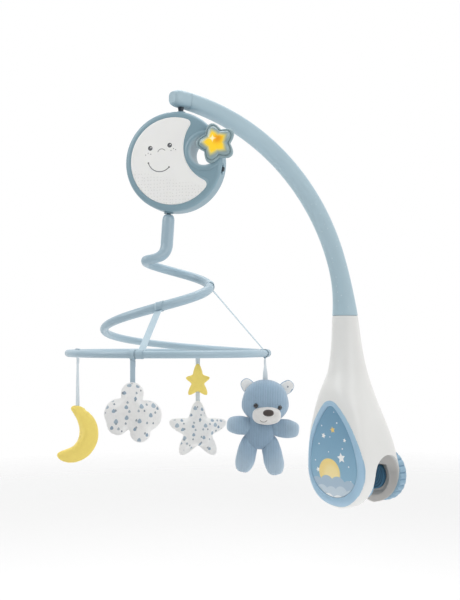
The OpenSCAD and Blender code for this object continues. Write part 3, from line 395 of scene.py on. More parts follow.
def dress(piece, mat, body, slot, *nodes):
    """Puts a material on a piece, hides the nodes it replaces and hangs it on the body it rides on. The
    slot is not used.
    """
    mat.on(piece)
    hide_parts(*nodes)
    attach(piece, body)


white = moulded("white_moulding", "ececea", 0.36)
white.cloudy(38, "e6e6e3", "ededeb")
across, back, up = [white.along(way) for way in ((1, 0, 0), (0, 1, 0), (0, 0, 1))]
# A warmer grey painted inside the slot: painted shade where its walls and dish lie in shadow.
slot_painted_shade = white.ramp(abs(across), 57, 44) * white.ramp(up, 44, 38)
white.paint(slot_painted_shade * white.ramp(back, -8.5, -6) * white.ramp(back, 66.5, 63), "c6c2bd")
dress(housing, white, "stand", "white_shell", "base_housing")

# Drop frame: a blue band let into the front of the housing around the picture, softly rounded and flush
# at its outer edge. A separate satin moulding that snaps into the housing's drop-shaped pocket.
frame_w, frame_foot = 9.0, -7.9


def picture_edge(inset):
    """The drop drawn in further at its foot and sides, so that the frame is widest below."""
    share = inset / frame_w
    return [(x * (1 - 0.03 * share), y + 0.04 * share * (drop_top - y)) for x, y in drop(inset)]


def panel_ring(inset, depth):
    return [on_panel(x, y, depth) for x, y in picture_edge(inset)]


def band_point(x, y, rise):
    """Point of the housing's own front surface over a spot of the picture plane, raised by rise."""
    flat = on_panel(x, y, 0)
    half, front, rear, _, n = base_size(flat.z / mm)
    c = (front + rear) / 2
    surface = c - (c - front) * max(1 - min(abs(x) / half, 0.9995) ** n, 0.0) ** (1 / n)
    return Vector((flat.x, surface * mm - rise * mm, flat.z))


rings = [panel_ring(0.25, frame_foot)]
for inset, rise in (
        (0.25, -0.9), (0.3, -0.35), (0.8, 0.12), (1.8, 0.62), (3.2, 1.0), (4.6, 1.12), (6.0, 0.95),
        (7.2, 0.5), (8.1, -0.15), (8.7, -0.9), (frame_w, -1.9)):
    rings.append([band_point(x, y, rise) for x, y in picture_edge(inset)])
rings.append(panel_ring(frame_w, frame_foot))
band = loft("drop_frame", rings, filled=False)
dress(band, moulded("frame_blue", "a2c3da", 0.4), "stand", "drop_blue", "drop_bezel")

# Picture plate: a printed plate set back inside the frame, with a rounded edge. Its print is a plain night
# sky: soft hills of cloud, a pale yellow disc half hidden behind them, and scattered stars and dots.
plate = loft("picture_plate", [
    panel_ring(inset, depth) for inset, depth in ((9.2, -7.5), (9.2, -2.5), (9.6, -2.1), (10.6, -1.9))])


def far(mat, cx=0, cy=0):
    """Distance on a material's face from a spot."""
    dx, dy = mat.x - cx, mat.y - cy
    return (dx * dx + dy * dy) ** 0.5


def disc(mat, cx, cy, r, blur=0.5):
    return mat.ramp(far(mat, cx, cy), r + blur / 2, r - blur / 2)


def off_point(angle):
    """How far an angle is from the nearest of a star's five points."""
    return abs(angle.maths("WRAP", pi / 5, -pi / 5))


def star_shape(mat, cx, cy, r, turn):
    """Five-pointed star: the angle is folded into one point, and the edge is a straight line there."""
    fold = off_point((mat.x - cx).maths("ARCTAN2", mat.y - cy) + turn)
    dip = r * 0.5
    low = dip * sin(pi / 5)
    edge = far(mat, cx, cy) * (fold.maths("COSINE") * low + fold.maths("SINE") * (r - dip * cos(pi / 5)))
    return mat.ramp(edge, r * low * 1.06, r * low * 0.94)


night = Finish("night_sky_print", "6f97b2", specular_ior_level=0.5, coat_weight=0.25, coat_roughness=0.12)
night.face((1, 0, 0), (0, 0, panel_z * mm))
night.base(night.mix(night.ramp(night.y, -45, 80), "8cb6ce", "78a2bd"))
for cx, cy, r in (
        (-20, 66, 1.1), (11, 72, 1.3), (-4, 50, 0.9), (20, 34, 1.2), (-27, 38, 1.2), (31, 8, 1.2),
        (-8, 27, 0.9), (-36, 12, 1.0), (6, 88, 0.8), (34, -14, 1.3)):
    night.paint(disc(night, cx, cy, r), "f2f4f4")
for cx, cy, r, turn, code in (
        (2, 61, 5.2, 0.2, "f0cf7a"), (-17, 51, 4.6, -0.3, "f6f6f4"), (17, 20, 8.2, 0.15, "f8f8f6"),
        (-31, -2, 4.2, 0.4, "f6f6f4"), (25, 47, 3.4, -0.2, "f6f6f4")):
    night.paint(star_shape(night, cx, cy, r, turn), code)
night.paint(disc(night, -8, -4, 21), "f3d98b")
night.paint(disc(night, -4, -7, 15, 12), "f7e3a4")
for code, level, lumps in (
        ("a9bfd0", -27, ((-34, -27, 14), (-14, -24, 15), (8, -25, 16), (30, -26, 13), (40, -36, 14))),
        ("c3d2dd", -40, ((-40, -38, 13), (-24, -37, 13), (-5, -39, 14), (14, -36, 13), (33, -40, 13))),
        ("eef1f2", -50, ((-30, -48, 11), (-12, -49, 13), (8, -50, 13), (25, -49, 11)))):
    for cx, cy, r in lumps:
        night.paint(disc(night, cx, cy, r), code)
    night.paint(night.ramp(night.y, level + 0.3, level - 0.3), code)
night.rough(0.3, 0.08, 6)
night.relief(night.grain(0.5), 0.006)
dress(plate, night, "stand", "print_panel", "picture_panel")

# Clamp: a light blue rubber pad on the slot's front wall, and a dark round pad with grooved rings that the
# scalloped knob drives on its screw. Rubber pads with a matt ground skin, the knob in satin plastic.


def rubber(name, colour):
    mat = Finish(name, colour, specular_ior_level=0.3)
    mat.cloudy(4, mat.shade(0.9), mat.colour)
    mat.rough(0.62, 0.15, 2)
    mat.relief(mat.grain(0.6, 4.0), 0.06)
    return mat


def metal(name, colour):
    """Turned steel with a fine tooled skin."""
    mat = Finish(name, colour, metallic=1.0)
    mat.rough(0.26, 0.18, 1.5)
    mat.relief(mat.grain(0.4), 0.02)
    return mat


rubber("pad_rubber_blue", "8fb3cc").on("fixed_pad")
pad = rubber("pad_rubber_dark", "3d6883")
pad.face((1, 0, 0))
groove_step = 1.9
grooves = pad.ramp(abs(far(pad).maths("WRAP", groove_step, -groove_step)), 0.25, 0.75)
# The groove bottoms are painted darker: painted shade in the grooves.
pad.base(pad.mix(grooves, pad.shade(0.5), pad.colour))
pad.relief(grooves + 0.1 * pad.grain(0.6, 4.0), 0.5)
pad.on("clamp_pad")
moulded("knob_blue", "8fb0c6", 0.44, 0.03).on("clamp_knob")
metal("bright_steel", "b9bcc0").on("knob_ring", "clamp_screw", "shell_screws", "door_screw")

# Arm: two blue half shells joined on the centre plane, from the round neck to the boxier tip, with a
# closed rounded end. The lower half carries small raised dots from the mould, painted paler as a painted
# highlight.
arm_reach, arm_rise, arm_foot, tip_angle, end_angle = 331, 274, 3.7, 85.8, 89.95
foot_sin = sin(radians(arm_foot))
arm_a, arm_b = arm_reach / cos(radians(arm_foot)), arm_rise / (1 - foot_sin)
arm_rows = [(arm_foot, 2 * neck_r, 2), (8, 33.6, 2.1), (13, 29.2, 2.2), (19, 26.8, 2.3), (45, 25, 2.6),
            (65, 23.5, 2.8), (80, 21.8, 3), (90, 20.8, 3.2)]


def arm_ring(t, inset=0.0):
    """Ring of the arm at an angle of its quarter ellipse."""
    r, n, w = smooth(arm_rows, t, 1) / 2 - inset, smooth(arm_rows, t, 2), radians(t)
    spot = Vector((0, neck_y - arm_reach + arm_a * cos(w), neck_top + arm_b * (sin(w) - foot_sin)))
    out = Vector((0, arm_b * cos(w), arm_a * sin(w) * min(1, (t - arm_foot) / 12))).normalized()
    return [(spot + r * boxy(s, n) * Vector((1, 0, 0)) + r * boxy(c, n) * out) * mm for c, s in circle(48)]


rings = [arm_ring(arm_foot + 0.05, 0.9), arm_ring(arm_foot + 0.05, 0.25), arm_ring(arm_foot + 0.15)]
rings += [arm_ring(arm_foot + 0.15 + (tip_angle - arm_foot - 0.25) * k / 110) for k in range(1, 111)]
rings += [arm_ring(tip_angle - 0.03, 0.25), arm_ring(tip_angle - 0.03, 1.0)]
arm = loft("arm_shells", rings)
rings = [arm_ring(tip_angle + 0.03, 1.0), arm_ring(tip_angle + 0.03, 0.25), arm_ring(tip_angle + 0.1)]
for k in range(1, 25):
    bend = max(k / 24 * 1.9 - 0.95, 0)
    rings.append(arm_ring(tip_angle + 0.1 + (end_angle - tip_angle - 0.1) * k / 24,
                          5 * (1 - sqrt(max(1 - bend**2, 0)))))
tip = loft("arm_end", rings)
hull = Finish("arm_blue", "b0c8d3", specular_ior_level=0.45, coat_weight=0.06, coat_roughness=0.25)
hull.cloudy(45, hull.shade(0.97), hull.shade(1.03))
cells = hull.node("TexVoronoi", {}, {
    "Vector": hull.place, "Scale": 135, "Randomness": 0.85}, "Distance")
dots = hull.ramp(cells, 0.17, 0.12) * hull.ramp(hull.along((0, 0, 1)), 450, 380)
seam = hull.ramp(abs(hull.along((1, 0, 0))), 0.05, 0.35)
# The raised dots are painted paler: a painted highlight on them.
hull.paint(dots * 0.6, "d3e2e9")
hull.rough(0.36, 0.1, 9)
hull.relief(dots * 0.55 + seam * 0.45 + 0.03 * hull.grain(0.8, 3.0), 0.45)
hull.on("arm_plug")
dress(arm, hull, "stand", "arm_blue", "arm_left", "arm_right")
dress(tip, hull, "stand", "arm_blue", "arm_tip")
moulded("pin_dark", "333d49", 0.35).on("hanger_pin", "spindle")

# Round night light: a front and a rear shell in grey-blue satin plastic, with painted light inside the
# through hole that makes its wall paler, screwed together around the drive, with bushes for the hanger pin
# and the spindle, a battery door and a slide switch in the rim.
lamp_turn, lamp_blue = radians(37), "8ba8b5"
lamp_right = Vector((cos(lamp_turn), sin(lamp_turn), 0))
lamp_out = Vector((sin(lamp_turn), -cos(lamp_turn), 0))
lamp_mid = Vector((-5.351, -329.632, 440.552)) * mm
hole_x, hole_y = 41.2, 11.4


def in_lamp(x, y, z):
    return lamp_mid + (x * lamp_right + y * Vector((0, 0, 1)) + z * lamp_out) * mm


shell = moulded("lamp_grey_blue", lamp_blue, 0.36)
shell.face(lamp_right, in_lamp(hole_x, hole_y, 0))
shell.cloudy(38, "88a5b2", "8eabb8")
# The hole's wall is painted paler: painted light on the wall of the through hole.
shell.paint(shell.ramp(far(shell), 21.5, 18.3), "b3c8d1")
shell.on("lamp_front_shell", "lamp_rear_shell", "battery_door", "hanger_bush", "spindle_bush")
for name, code, gloss, *pieces in (
        ("switch_dark", "4a5158", 0.5, "slide_switch"), ("speaker_black", "33363a", 0.6, "speaker"),
        ("inner_grey", "5f6870", 0.55, "battery_tray", "gear_plate"),
        ("gear_nylon", "ded8c4", 0.5, "motor_pinion", "spindle_gear"),
        ("board_green", "3f6b4c", 0.5, "circuit_board"), ("led_dome", "fbefc4", 0.2, "lamp_leds"),
        ("cell_wrap", "4b7d58", 0.3, "battery_cells")):
    moulded(name, code, gloss).on(*pieces)
metal("motor_can", "b4b6ba").on("gear_motor")

# Moon: a milky white crescent cover on a blue seat, let into the front shell, with a rounded edge and a
# pebbled skin. It is printed with a simple smiling face, and small raised dots lie low on it.
cover_r, seat_top = 56, 15


def bearing(v):
    return degrees(atan2(v.y, v.x))


def sweep(centre, r, a, b, count):
    angles = [radians(a + (b - a) * k / count) for k in range(count)]
    return [centre + r * Vector((cos(w), sin(w))) for w in angles]


def crescent(inset, bite, bite_r, horns):
    """A disc less a bite, with its two horns rounded to their own radii."""
    horn_spots = []
    for side, horn in zip((1, -1), horns):
        near = ((cover_r - horn) ** 2 - (bite_r + horn) ** 2 + bite.length_squared) / (2 * bite.length)
        wide = sqrt((cover_r - horn) ** 2 - near**2)
        horn_spots.append(near * bite.normalized() + side * wide * bite.orthogonal().normalized())
    upper, lower = horn_spots
    a, b, c, d = bearing(upper), bearing(lower), bearing(upper - bite), bearing(lower - bite)
    return (sweep(Vector((0, 0)), cover_r - inset, a, b + 360, 130)
            + sweep(lower, horns[1] - inset, b, d + 180, 26)
            + sweep(bite, bite_r + inset, d + 360, c, 70) + sweep(upper, horns[0] - inset, c - 180, a, 26))


seat_edge, cover_edge = (Vector((56, 19)), 44, (6, 6)), (Vector((61.5, 17)), 47, (6, 7))
moon = loft("moon_cover", [[in_lamp(x, y, z) for x, y in crescent(inset, *edge)] for edge, rows in (
    (seat_edge, ((0.12, 12.05), (0.12, 14.85))),
    (cover_edge, ((0.3, 14.9), (0.3, 15.1), (0.5, 15.45), (0.9, 15.75), (1.6, 15.95), (2.7, 16.05))))
    for inset, z in rows])


def arc_line(mat, cx, cy, r, half, keep):
    return mat.ramp(abs(far(mat, cx, cy) - r), half + 0.2, half - 0.2) * keep


milky = Finish("moon_milky", "f1f1ef", specular_ior_level=0.4, subsurface_weight=0.15,
               subsurface_radius=(0.003, 0.003, 0.0025), emission_strength=0.05)
milky.face(lamp_right, lamp_mid)
milky.cloudy(30, "f1f1ef", "f8f8f6")
ink = "5c5f63"
for cx, cy in ((-29.5, 17.2), (-3.8, 20.1)):
    milky.paint(disc(milky, cx, cy, 3.0), "4d5054")
    milky.paint(disc(milky, cx - 0.5, cy - 0.6, 1.2, 2.2), "7d8084")
    milky.paint(disc(milky, cx + 0.9, cy + 0.8, 0.8), "f4f4f4")
for cx, cy in ((-35.6, 8.8), (-32.4, 11.0), (-28.8, 9.6), (-2.0, 13.2), (1.4, 15.6), (4.2, 14.2)):
    milky.paint(disc(milky, cx, cy, 0.55, 0.4), ink)
nose_keep = milky.ramp(milky.y - 0.17 * milky.x, 15.0, 15.6)
mouth_keep = milky.ramp(milky.y + 0.226 * milky.x, -8.8, -9.2)
milky.paint(arc_line(milky, -14.3, 10.4, 5.4, 0.4, nose_keep), "76797d")
milky.paint(arc_line(milky, -16.6, 2.8, 16.0, 0.5, mouth_keep), ink)
for cx, cy in ((-32.0, -1.6), (-4.6, -7.8)):
    milky.paint(disc(milky, cx, cy, 1.1), ink)
milky.put("Emission Color", milky.skin)
milky.rough(0.42, 0.1, 7)
flat = milky.node("CombineXYZ", {}, {0: milky.x, 1: milky.y})
holes = milky.node("TexVoronoi", {"voronoi_dimensions": "2D"},
                   {"Vector": flat, "Scale": 0.24, "Randomness": 0.35}, "Distance")
dots = milky.ramp(holes, 0.2, 0.13) * milky.ramp(milky.y + 0.25 * milky.x, -20, -27)
milky.paint(dots * 0.5, "d2d2d0")
milky.paint(milky.ramp(milky.along(lamp_out, lamp_mid), seat_top + 0.05, seat_top - 0.05), lamp_blue)
milky.relief(dots * 0.8 + 0.06 * milky.grain(0.7, 3.0), 0.3)
dress(moon, milky, "lamp", "moon_white", "moon_diffuser")

# Star: a frosted star-shaped seat pegged on the rim beside the hole, and in it the soft yellow star that
# is pressed for light. The yellow fades to the frosted grey-blue at its edge, lit from within, with a
# painted glint near its upper left.
star_mid, star_turn, star_z = Vector((57.5, 19.3)), 105, 15.0


def star_outline(tip, dip, blunt=8, reach=1.25, turn=90, narrow=0.0, count=150):
    """Five blunted points, one of them at the angle turn, with the sides drawn in by narrow."""
    fifth, long = radians(36), tip * reach
    points = []
    for k in range(count):
        q = 360 * k / count
        w = radians(abs((q - turn + 36) % 72 - 36))
        edge = long * dip * sin(fifth) / (sin(w) * (long - dip * cos(fifth)) + cos(w) * dip * sin(fifth))
        c, s = cos(radians(q)), sin(radians(q))
        r = (edge**-blunt + tip**-blunt) ** (-1 / blunt) * (1 - narrow * c**2)
        points.append((r * c, r * s))
    return points


def lamp_star(name, rows):
    """The lamp's star lofted through rows of (share of its size, height)."""
    outline = star_outline(26.3, 18.4, 9, 1.45, star_turn, count=120)
    return loft(name, [[in_lamp(star_mid.x + u * x, star_mid.y + u * y, star_z + z) for x, y in outline]
                       for u, z in rows])


seat = lamp_star("star_seat", (
    (0.9, 0.02), (0.965, 0.4), (0.99, 1.4), (1.0, 3.0), (0.985, 4.6), (0.95, 5.6), (0.905, 6.0),
    (0.865, 5.85), (0.851, 5.4), (0.848, 2.1)))
frost = Finish("star_frost", "93abb3", specular_ior_level=0.4, subsurface_weight=0.2,
               subsurface_radius=(0.003, 0.003, 0.003))
frost.cloudy(6, frost.colour, "9db2b6")
frost.rough(0.4, 0.12, 2)
frost.relief(frost.grain(0.6), 0.03)
dress(seat, frost, "lamp", "star_frost", "star_base")
button = lamp_star("star_button_cap", (
    (0.74, 3.9), (0.845, 4.0), (0.846, 5.4), (0.825, 6.6), (0.74, 8.5), (0.64, 9.5), (0.5, 10.2),
    (0.34, 10.6), (0.17, 10.8), (0.03, 10.8)))
glow = Finish("star_yellow", "f2c433", roughness=0.22, specular_ior_level=0.5, coat_weight=0.3,
              coat_roughness=0.1, emission_strength=0.35)
glow.face(lamp_right, in_lamp(star_mid.x, star_mid.y, 0))
edge = far(glow) * (1 + 0.8 * off_point(glow.y.maths("ARCTAN2", glow.x) - radians(star_turn)))
hot = glow.mix(glow.ramp(far(glow, 4, 4) + 5 * glow.grain(9), 4, 12), "e0961c", "f4c92f")
glow.base(glow.mix(glow.ramp(edge, 11, 17), hot, "d3c873"))
# A painted glint: a bright spot with four soft rays near the upper left, painted into the colour and the
# glow.
gx, gy = glow.x + 3, glow.y - 5
painted_glint_rays = glow.ramp(abs(gx * gy) + 0.12 * (gx * gx + gy * gy), 5, 0.2)
glow.paint((disc(glow, -3, 5, 1.0, 5) | painted_glint_rays) * 0.75, "fff6d0")
outer = glow.ramp(edge, 12.5, 20.5)
glow.put("Emission Color", glow.mix(outer, glow.skin, (0, 0, 0)))
glow.paint(outer, "93aaae")
glow.relief(glow.grain(5), 0.25)
dress(button, glow, "star_button", "star_yellow", "star_lens")

# Spiral: one tapering light blue tube, a stem under the lamp's spindle that turns through an elbow into
# a widening coil and runs out along the hoop. Satin plastic with a fine moulding skin.
hoop_r, hoop_tube, stem_r, hoop_colour = 128, 4.5, 8, "a8bfcc"
axis = Vector((-12.938, -335.349, 0))
hoop_z, coil_top, stem_top = 195.26, 313.26, 374.26
view_right = Vector((cos(view_turn), sin(view_turn), 0))
view_away = Vector((-sin(view_turn), cos(view_turn), 0))
tube_rows = [
    (0, 1), (1, 1), (1.45, 0.8), (1.8, 0.69), (2, 0.67), (2.5, 0.72), (3.4, 0.74), (4, 0.64), (5, 0.565)]


def laid(right, away, z):
    return axis + right * view_right + away * view_away + Vector((0, 0, z))


def ease(u):
    return u * u * (3 - 2 * u)


def coil_at(s):
    """The coil after s half turns, wider and lower with each."""
    r = hoop_r * (0.234 + 0.1445 * s + 0.025 * s * s + 0.0039 * s**3)
    return laid(-r * cos(pi * s), r * sin(pi * s), coil_top - (coil_top - hoop_z) * ease(s / 3))


def elbow(u):
    """The bend between the stem and the coil, on four control points."""
    a, b = laid(-2.5, 0, coil_top + 23), laid(-3.5, -1, coil_top - 3)
    c, d = laid(-hoop_r * 0.234 - 3, -21, coil_top + 5), coil_at(0)
    return (1 - u) ** 3 * a + 3 * u * (1 - u) ** 2 * b + 3 * u * u * (1 - u) * c + u**3 * d


def path(v):
    """The tube's middle line: the stem up to 1, the elbow up to 2, then the coil."""
    if v < 1:
        return laid(0, 0, stem_top) * (1 - v) + elbow(0) * v
    return elbow(v - 1) if v < 2 else coil_at(v - 2)


def heading(v):
    return (path(min(v + 0.02, 4.99)) - path(max(v - 0.02, 0))).normalized()


def tube_r(v):
    return stem_r * smooth(tube_rows, v, 1)


def tube_ring(v, r):
    s = max(v - 2, 0)
    ref = -cos(pi * s) * view_right + sin(pi * s) * view_away + Vector((0, 0, 1))
    t = heading(v)
    n = (ref - ref.dot(t) * t).normalized()
    b = t.cross(n)
    return [(path(v) + r * (x * n + y * b)) * mm for x, y in circle(28)]


rings = [tube_ring(v, stem_r * k) for v, k in (
    (0.0, 0.42), (0.012, 0.62), (0.045, 0.8), (0.1, 0.92), (0.17, 0.98), (0.25, 1.0))]
rings += [tube_ring(0.25 + 0.75 * k / 8, stem_r) for k in range(1, 8)]
stations = [1 + k / 40 for k in range(41)] + [2 + 2.93 * k / 200 for k in range(1, 201)]
spiral = loft("spiral_tube", rings + [tube_ring(v, tube_r(v)) for v in stations])
hoop_blue = moulded("hoop_blue", hoop_colour, 0.34)
hoop_blue.on("hoop")
dress(spiral, hoop_blue, "carousel", "hoop_blue", "spiral")

# Straps and ribbons: satin bands, sewn in a loop round the tube. Two straps tie the spiral to the hoop,
# four ribbons carry the toys, and a short one in two lengths hangs the large star from the small star.
strap_w, ribbon_w, band_thick, lap_z = 8.6, 6.3, 0.55, -8.5
moon_at, cloud_at, star_at, bear_at = 214, 304, 124, 34
band_edge = [(-1, -0.5), (-0.94, -1), (-0.5, -1), (0, -1), (0.5, -1), (0.94, -1), (1, -0.5)]
band_edge += [(-x, -y) for x, y in band_edge]


def band_of(name, spots, wides, width):
    """Flat band along a row of points, with a width direction at each."""
    rings = []
    for i, (p, w) in enumerate(zip(spots, wides)):
        t = (spots[min(i + 1, len(spots) - 1)] - spots[max(i - 1, 0)]).normalized()
        n = t.cross(w).normalized()
        w = n.cross(t).normalized()
        rings.append([(p + x * width / 2 * w + y * band_thick / 2 * n) * mm for x, y in band_edge])
    return loft(name, rings)


def satin(name, colour, ends=()):
    """Woven satin with fine threads and a soft sheen, dyed like the tubes where it is looped round them."""
    mat = Finish(name, colour, sheen_weight=0.4, sheen_roughness=0.35, specular_ior_level=0.35)
    weave = mat.node("TexWave", {"wave_type": "BANDS", "bands_direction": "Z"},
                     {"Vector": mat.place, "Scale": 900, "Distortion": 1.0})
    mat.cloudy(1.2, mat.shade(0.93), mat.colour)
    x, y = mat.along((1, 0, 0), axis * mm), mat.along((0, 1, 0), axis * mm)
    out, high = (x * x + y * y) ** 0.5 - hoop_r, mat.along((0, 0, 1)) - hoop_z
    on_tube = mat.ramp((out * out + high * high) ** 0.5, 6.6, 6.0)
    for spot in ends:
        gap = mat.vector("DISTANCE", mat.place, tuple(spot * mm), "Value")
        on_tube = on_tube | mat.ramp(gap * 1000, 8.0, 7.4)
    mat.paint(on_tube, hoop_colour)
    mat.rough(0.42, 0.15, 0.8)
    mat.relief(weave * 0.6 + 0.4 * mat.grain(0.5), 0.05)
    return mat


def hoop_spot(angle):
    """A point of the hoop, the direction along it and the direction inwards."""
    c, s = cos(radians(angle)), sin(radians(angle))
    return axis + Vector((hoop_r * c, hoop_r * s, hoop_z)), Vector((-s, c, 0)), Vector((-c, -s, 0))


def loop_round(centre, r, start, side):
    """Turns round a tube: from the side that faces start, round the back and to start again."""
    angles = [radians(8 + 344 * k / 26) for k in range(27)]
    return [centre + r * (cos(a) * start + sin(a) * side) for a in angles]


strap_front, strap_right, strap_lead = 3.53, 3.03, 3.916
shares = (0.03, 0.15, 0.3, 0.5, 0.7, 0.85, 0.97)
strap_blue = satin("strap_satin", "c3d8e3", (path(strap_front), path(strap_right)))
for name, v, angle in (("strap_front", strap_front, cloud_at + strap_lead),
                       ("strap_right", strap_right, bear_at + strap_lead)):
    low, wide, _ = hoop_spot(angle)
    high, high_wide = path(v), heading(v)
    if high_wide.dot(wide) < 0:
        high_wide = -high_wide
    d = (low - high).normalized()
    top = loop_round(high, tube_r(v) + band_thick, d, d.cross(high_wide).normalized())
    foot = loop_round(low, hoop_tube + band_thick, -d, -d.cross(wide).normalized())
    first, last = high + (tube_r(v) + 0.6) * d, low - (hoop_tube + 0.6) * d
    spots = top + [first.lerp(last, k) for k in shares] + foot
    wides = [high_wide] * len(top) + [high_wide.lerp(wide, k).normalized() for k in shares]
    wides += [wide] * len(foot)
    dress(band_of(name + "_band", spots, wides, strap_w), strap_blue, "carousel", "strap_satin", name)

ribbon_pale = satin("ribbon_satin", "dbe5ea")
ribbon_sky = satin("ribbon_blue", "b4c9d6")
for name, angle, foot, twist, body, mat in (
        ("moon_ribbon", moon_at, -76, 25, "moon", ribbon_pale),
        ("cloud_ribbon", cloud_at, -37, 0, "cloud", ribbon_sky),
        ("star_ribbon", star_at, -23, 0, "little_star", ribbon_pale),
        ("bear_ribbon", bear_at, -37, 75, "bear", ribbon_pale)):
    top, tangent, inward = hoop_spot(angle)
    spots = [top + 0.75 * inward + Vector((0, 0, lap_z - k)) for k in (6, 3, 0)]
    spots += loop_round(top, hoop_tube + 0.7, Vector((0, 0, -1)), inward)[::-1]
    wides = [tangent] * len(spots)
    for k in range(13):
        u = 1 - k / 12
        a = radians(-twist * ease(1 - u))
        spots.append(top + Vector((0, 0, foot + (lap_z - foot) * u)))
        wides.append(cos(a) * tangent + sin(a) * inward)
    dress(band_of(name + "_band", spots, wides, ribbon_w), mat, body, "ribbon_white", name)
top, tangent, _ = hoop_spot(star_at)
for name, z0, z1, body in (("star_link_upper", -52, -60.3, "little_star"),
                           ("star_link_lower", -60.6, -77, "great_star")):
    spots = [top + Vector((0, 0, z0 + (z1 - z0) * k / 4)) for k in range(5)]
    dress(band_of(name + "_band", spots, [tangent] * 5, ribbon_w), ribbon_pale, body, "ribbon_white", name)

# Flat toys: a moon, a cloud and two stars, each two pieces of cotton jersey sewn round the edge, turned
# and stuffed. The panels are inflated as cloth, so that the edge draws in between the points.
slab, yellow, cream = 4.4, "ffe47c", "f1f1f0"


def box_of(points):
    return [[end(p[i] for p in points) for i in range(3)] for end in (min, max)]


def stuffed(name, outline, depth, spot, voxel=0.0022):
    """A thin slab of the outline blown up as cloth, brought back to its size and hung in place."""
    bpy.ops.mesh.primitive_circle_add(vertices=len(outline), radius=0.01, fill_type="NGON")
    piece = bpy.context.object
    piece.name = piece.data.name = name
    for v, (x, z) in zip(piece.data.vertices, outline):
        v.co = Vector((x, -slab / 2, z)) * mm
    bpy.ops.object.mode_set(mode="EDIT")
    select_mesh()
    bpy.ops.mesh.extrude_region_move(TRANSFORM_OT_translate={"value": (0, slab * mm, 0)})
    select_mesh()
    bpy.ops.mesh.normals_make_consistent(inside=False)
    bpy.ops.object.mode_set(mode="OBJECT")
    piece.data.remesh_voxel_size = voxel
    bpy.ops.object.voxel_remesh()
    cloth = piece.modifiers.new("cloth", "CLOTH")
    for key, value in (
            ("quality", 6), ("mass", 0.12), ("tension_stiffness", 40), ("compression_stiffness", 40),
            ("bending_stiffness", 0.3), ("use_pressure", True), ("uniform_pressure_force", 5.0)):
        setattr(cloth.settings, key, value)
    cloth.settings.effector_weights.gravity = 0
    cloth.point_cache.frame_end = 40
    for step in range(1, 27):
        bpy.context.scene.frame_set(step)
    bpy.ops.object.modifier_apply(modifier="cloth")
    bpy.context.scene.frame_set(1)
    apply(piece, "SMOOTH", factor=0.5, iterations=3)
    apply(piece, "SUBSURF", levels=1, render_levels=1)
    low, high = box_of([v.co.copy() for v in piece.data.vertices])
    want_low, want_high = box_of([(x * mm, y * mm, z * mm) for x, z in outline for y in (-depth, depth)])
    for v in piece.data.vertices:
        v.co = Vector([want_low[i] + (v.co[i] - low[i]) / (high[i] - low[i]) * (want_high[i] - want_low[i])
                       for i in range(3)])
    piece.data.transform(Matrix.Translation(spot * mm) @ Matrix.Rotation(view_turn, 4, "Z"))
    bpy.ops.object.shade_smooth()
    return piece


def hung(mat, spot):
    """Measures a material from a toy's own spot: x to the right, y up, deep into the picture."""
    mat.face(view_right, spot * mm)
    mat.deep = mat.along(view_away, spot * mm)


def jersey(name, colour, spot, printed=False):
    """Brushed cotton jersey: fine loops in rows, cloudy nap, a soft sheen and a drawn-in seam with painted
    shade.
    """
    mat = Finish(name, colour, roughness=0.9, specular_ior_level=0.15, sheen_weight=0.35,
                 sheen_roughness=0.5)
    hung(mat, spot)
    seam = mat.ramp(abs(mat.deep), 0.7, 0.15)
    mat.cloudy(3.5, mat.shade(0.93), mat.shade(1.05), 3.0)
    if printed:
        drop_print(mat)
    # Painted shade in the seam's crease: the seam is painted a darker copy of the colour.
    mat.paint(seam * 0.45, mat.shade(0.55))
    rows = (mat.x * 9.0 + 2.2 * mat.grain(1.1)).maths("SINE")
    mat.relief(rows * 0.25 + mat.grain(0.45, 4.0) * 0.7 - seam * 2.0, 0.12)
    return mat


def drop_print(mat):
    """Scattered drops and dots printed on white, in greyed blues, up to the seam."""
    flat = mat.node("CombineXYZ", {}, {0: mat.x + 0.3 * mat.deep, 1: mat.y + 0.2 * mat.deep})
    face = mat.ramp(abs(mat.deep), 1.8, 3.2)
    for scale, big, seed, dark, light in (
            (0.074, 2.5, 0.0, "7d97ad", "a9bbc9"), (0.088, 1.35, 37.0, "66737f", "aab6c0")):
        shifted = mat.vector("ADD", flat, (seed, seed * 0.7, 0))
        spread = {"Vector": shifted, "Scale": scale, "Randomness": 0.72}
        centre, colour = [mat.node("TexVoronoi", {"voronoi_dimensions": "2D"}, spread, output)
                          for output in ("Position", "Color")]
        chance = mat.node("SeparateColor", {}, {0: colour})
        gap = mat.vector("SUBTRACT", shifted, centre)
        dx, dy = [mat.node("SeparateXYZ", {}, {0: gap}, k) for k in (0, 1)]
        size = big * (0.75 + 0.5 * chance)
        s = dy / size
        width = (1.1 - s * 0.42) * ((1 - s * s) | 0.0) ** 0.5 * size * 0.76
        mask = mat.ramp(width - abs(dx), -0.15, 0.25)
        mat.paint(mask * face * 0.92, mat.mix(chance, dark, light))


def moon_outline():
    """A crescent between two circles, swept about the middle of the outer one, with blunt round ends."""
    r_out, r_bite, bite_x, bite_z = 39.9, 36.3, -26, 8.75
    outer, inner = [], []
    for k in range(61):
        u = 1 - cos(pi * k / 60)
        a = radians(81 - 98.5 * u)
        x, z = cos(a), sin(a)
        r_in = bite_x * x + bite_z * z + sqrt(r_bite**2 - (bite_z * x - bite_x * z) ** 2)
        w = (r_out - r_in) / 2 * max((1 - abs(u - 1) ** 12) ** 0.5, 0.06)
        for row, r in ((outer, (r_out + r_in) / 2 + w), (inner, (r_out + r_in) / 2 - w)):
            row.append((-12.3 + r * x, -107 + r * z))
    return outer + inner[::-1]


def cloud_radius(c, s):
    """Farthest reach of the cloud's lobes in a direction."""
    best = 0
    for x, y, r in (
            (-0.6, 20, 15), (-13, -1.5, 20), (-16.5, -12.5, 14), (14, -3.5, 19.6), (8.7, -21.8, 13),
            (0, 0, 21)):
        d, h = x * c + y * s, x * s - y * c
        if abs(h) < r:
            best = max(best, d + sqrt(r * r - h * h))
    return best


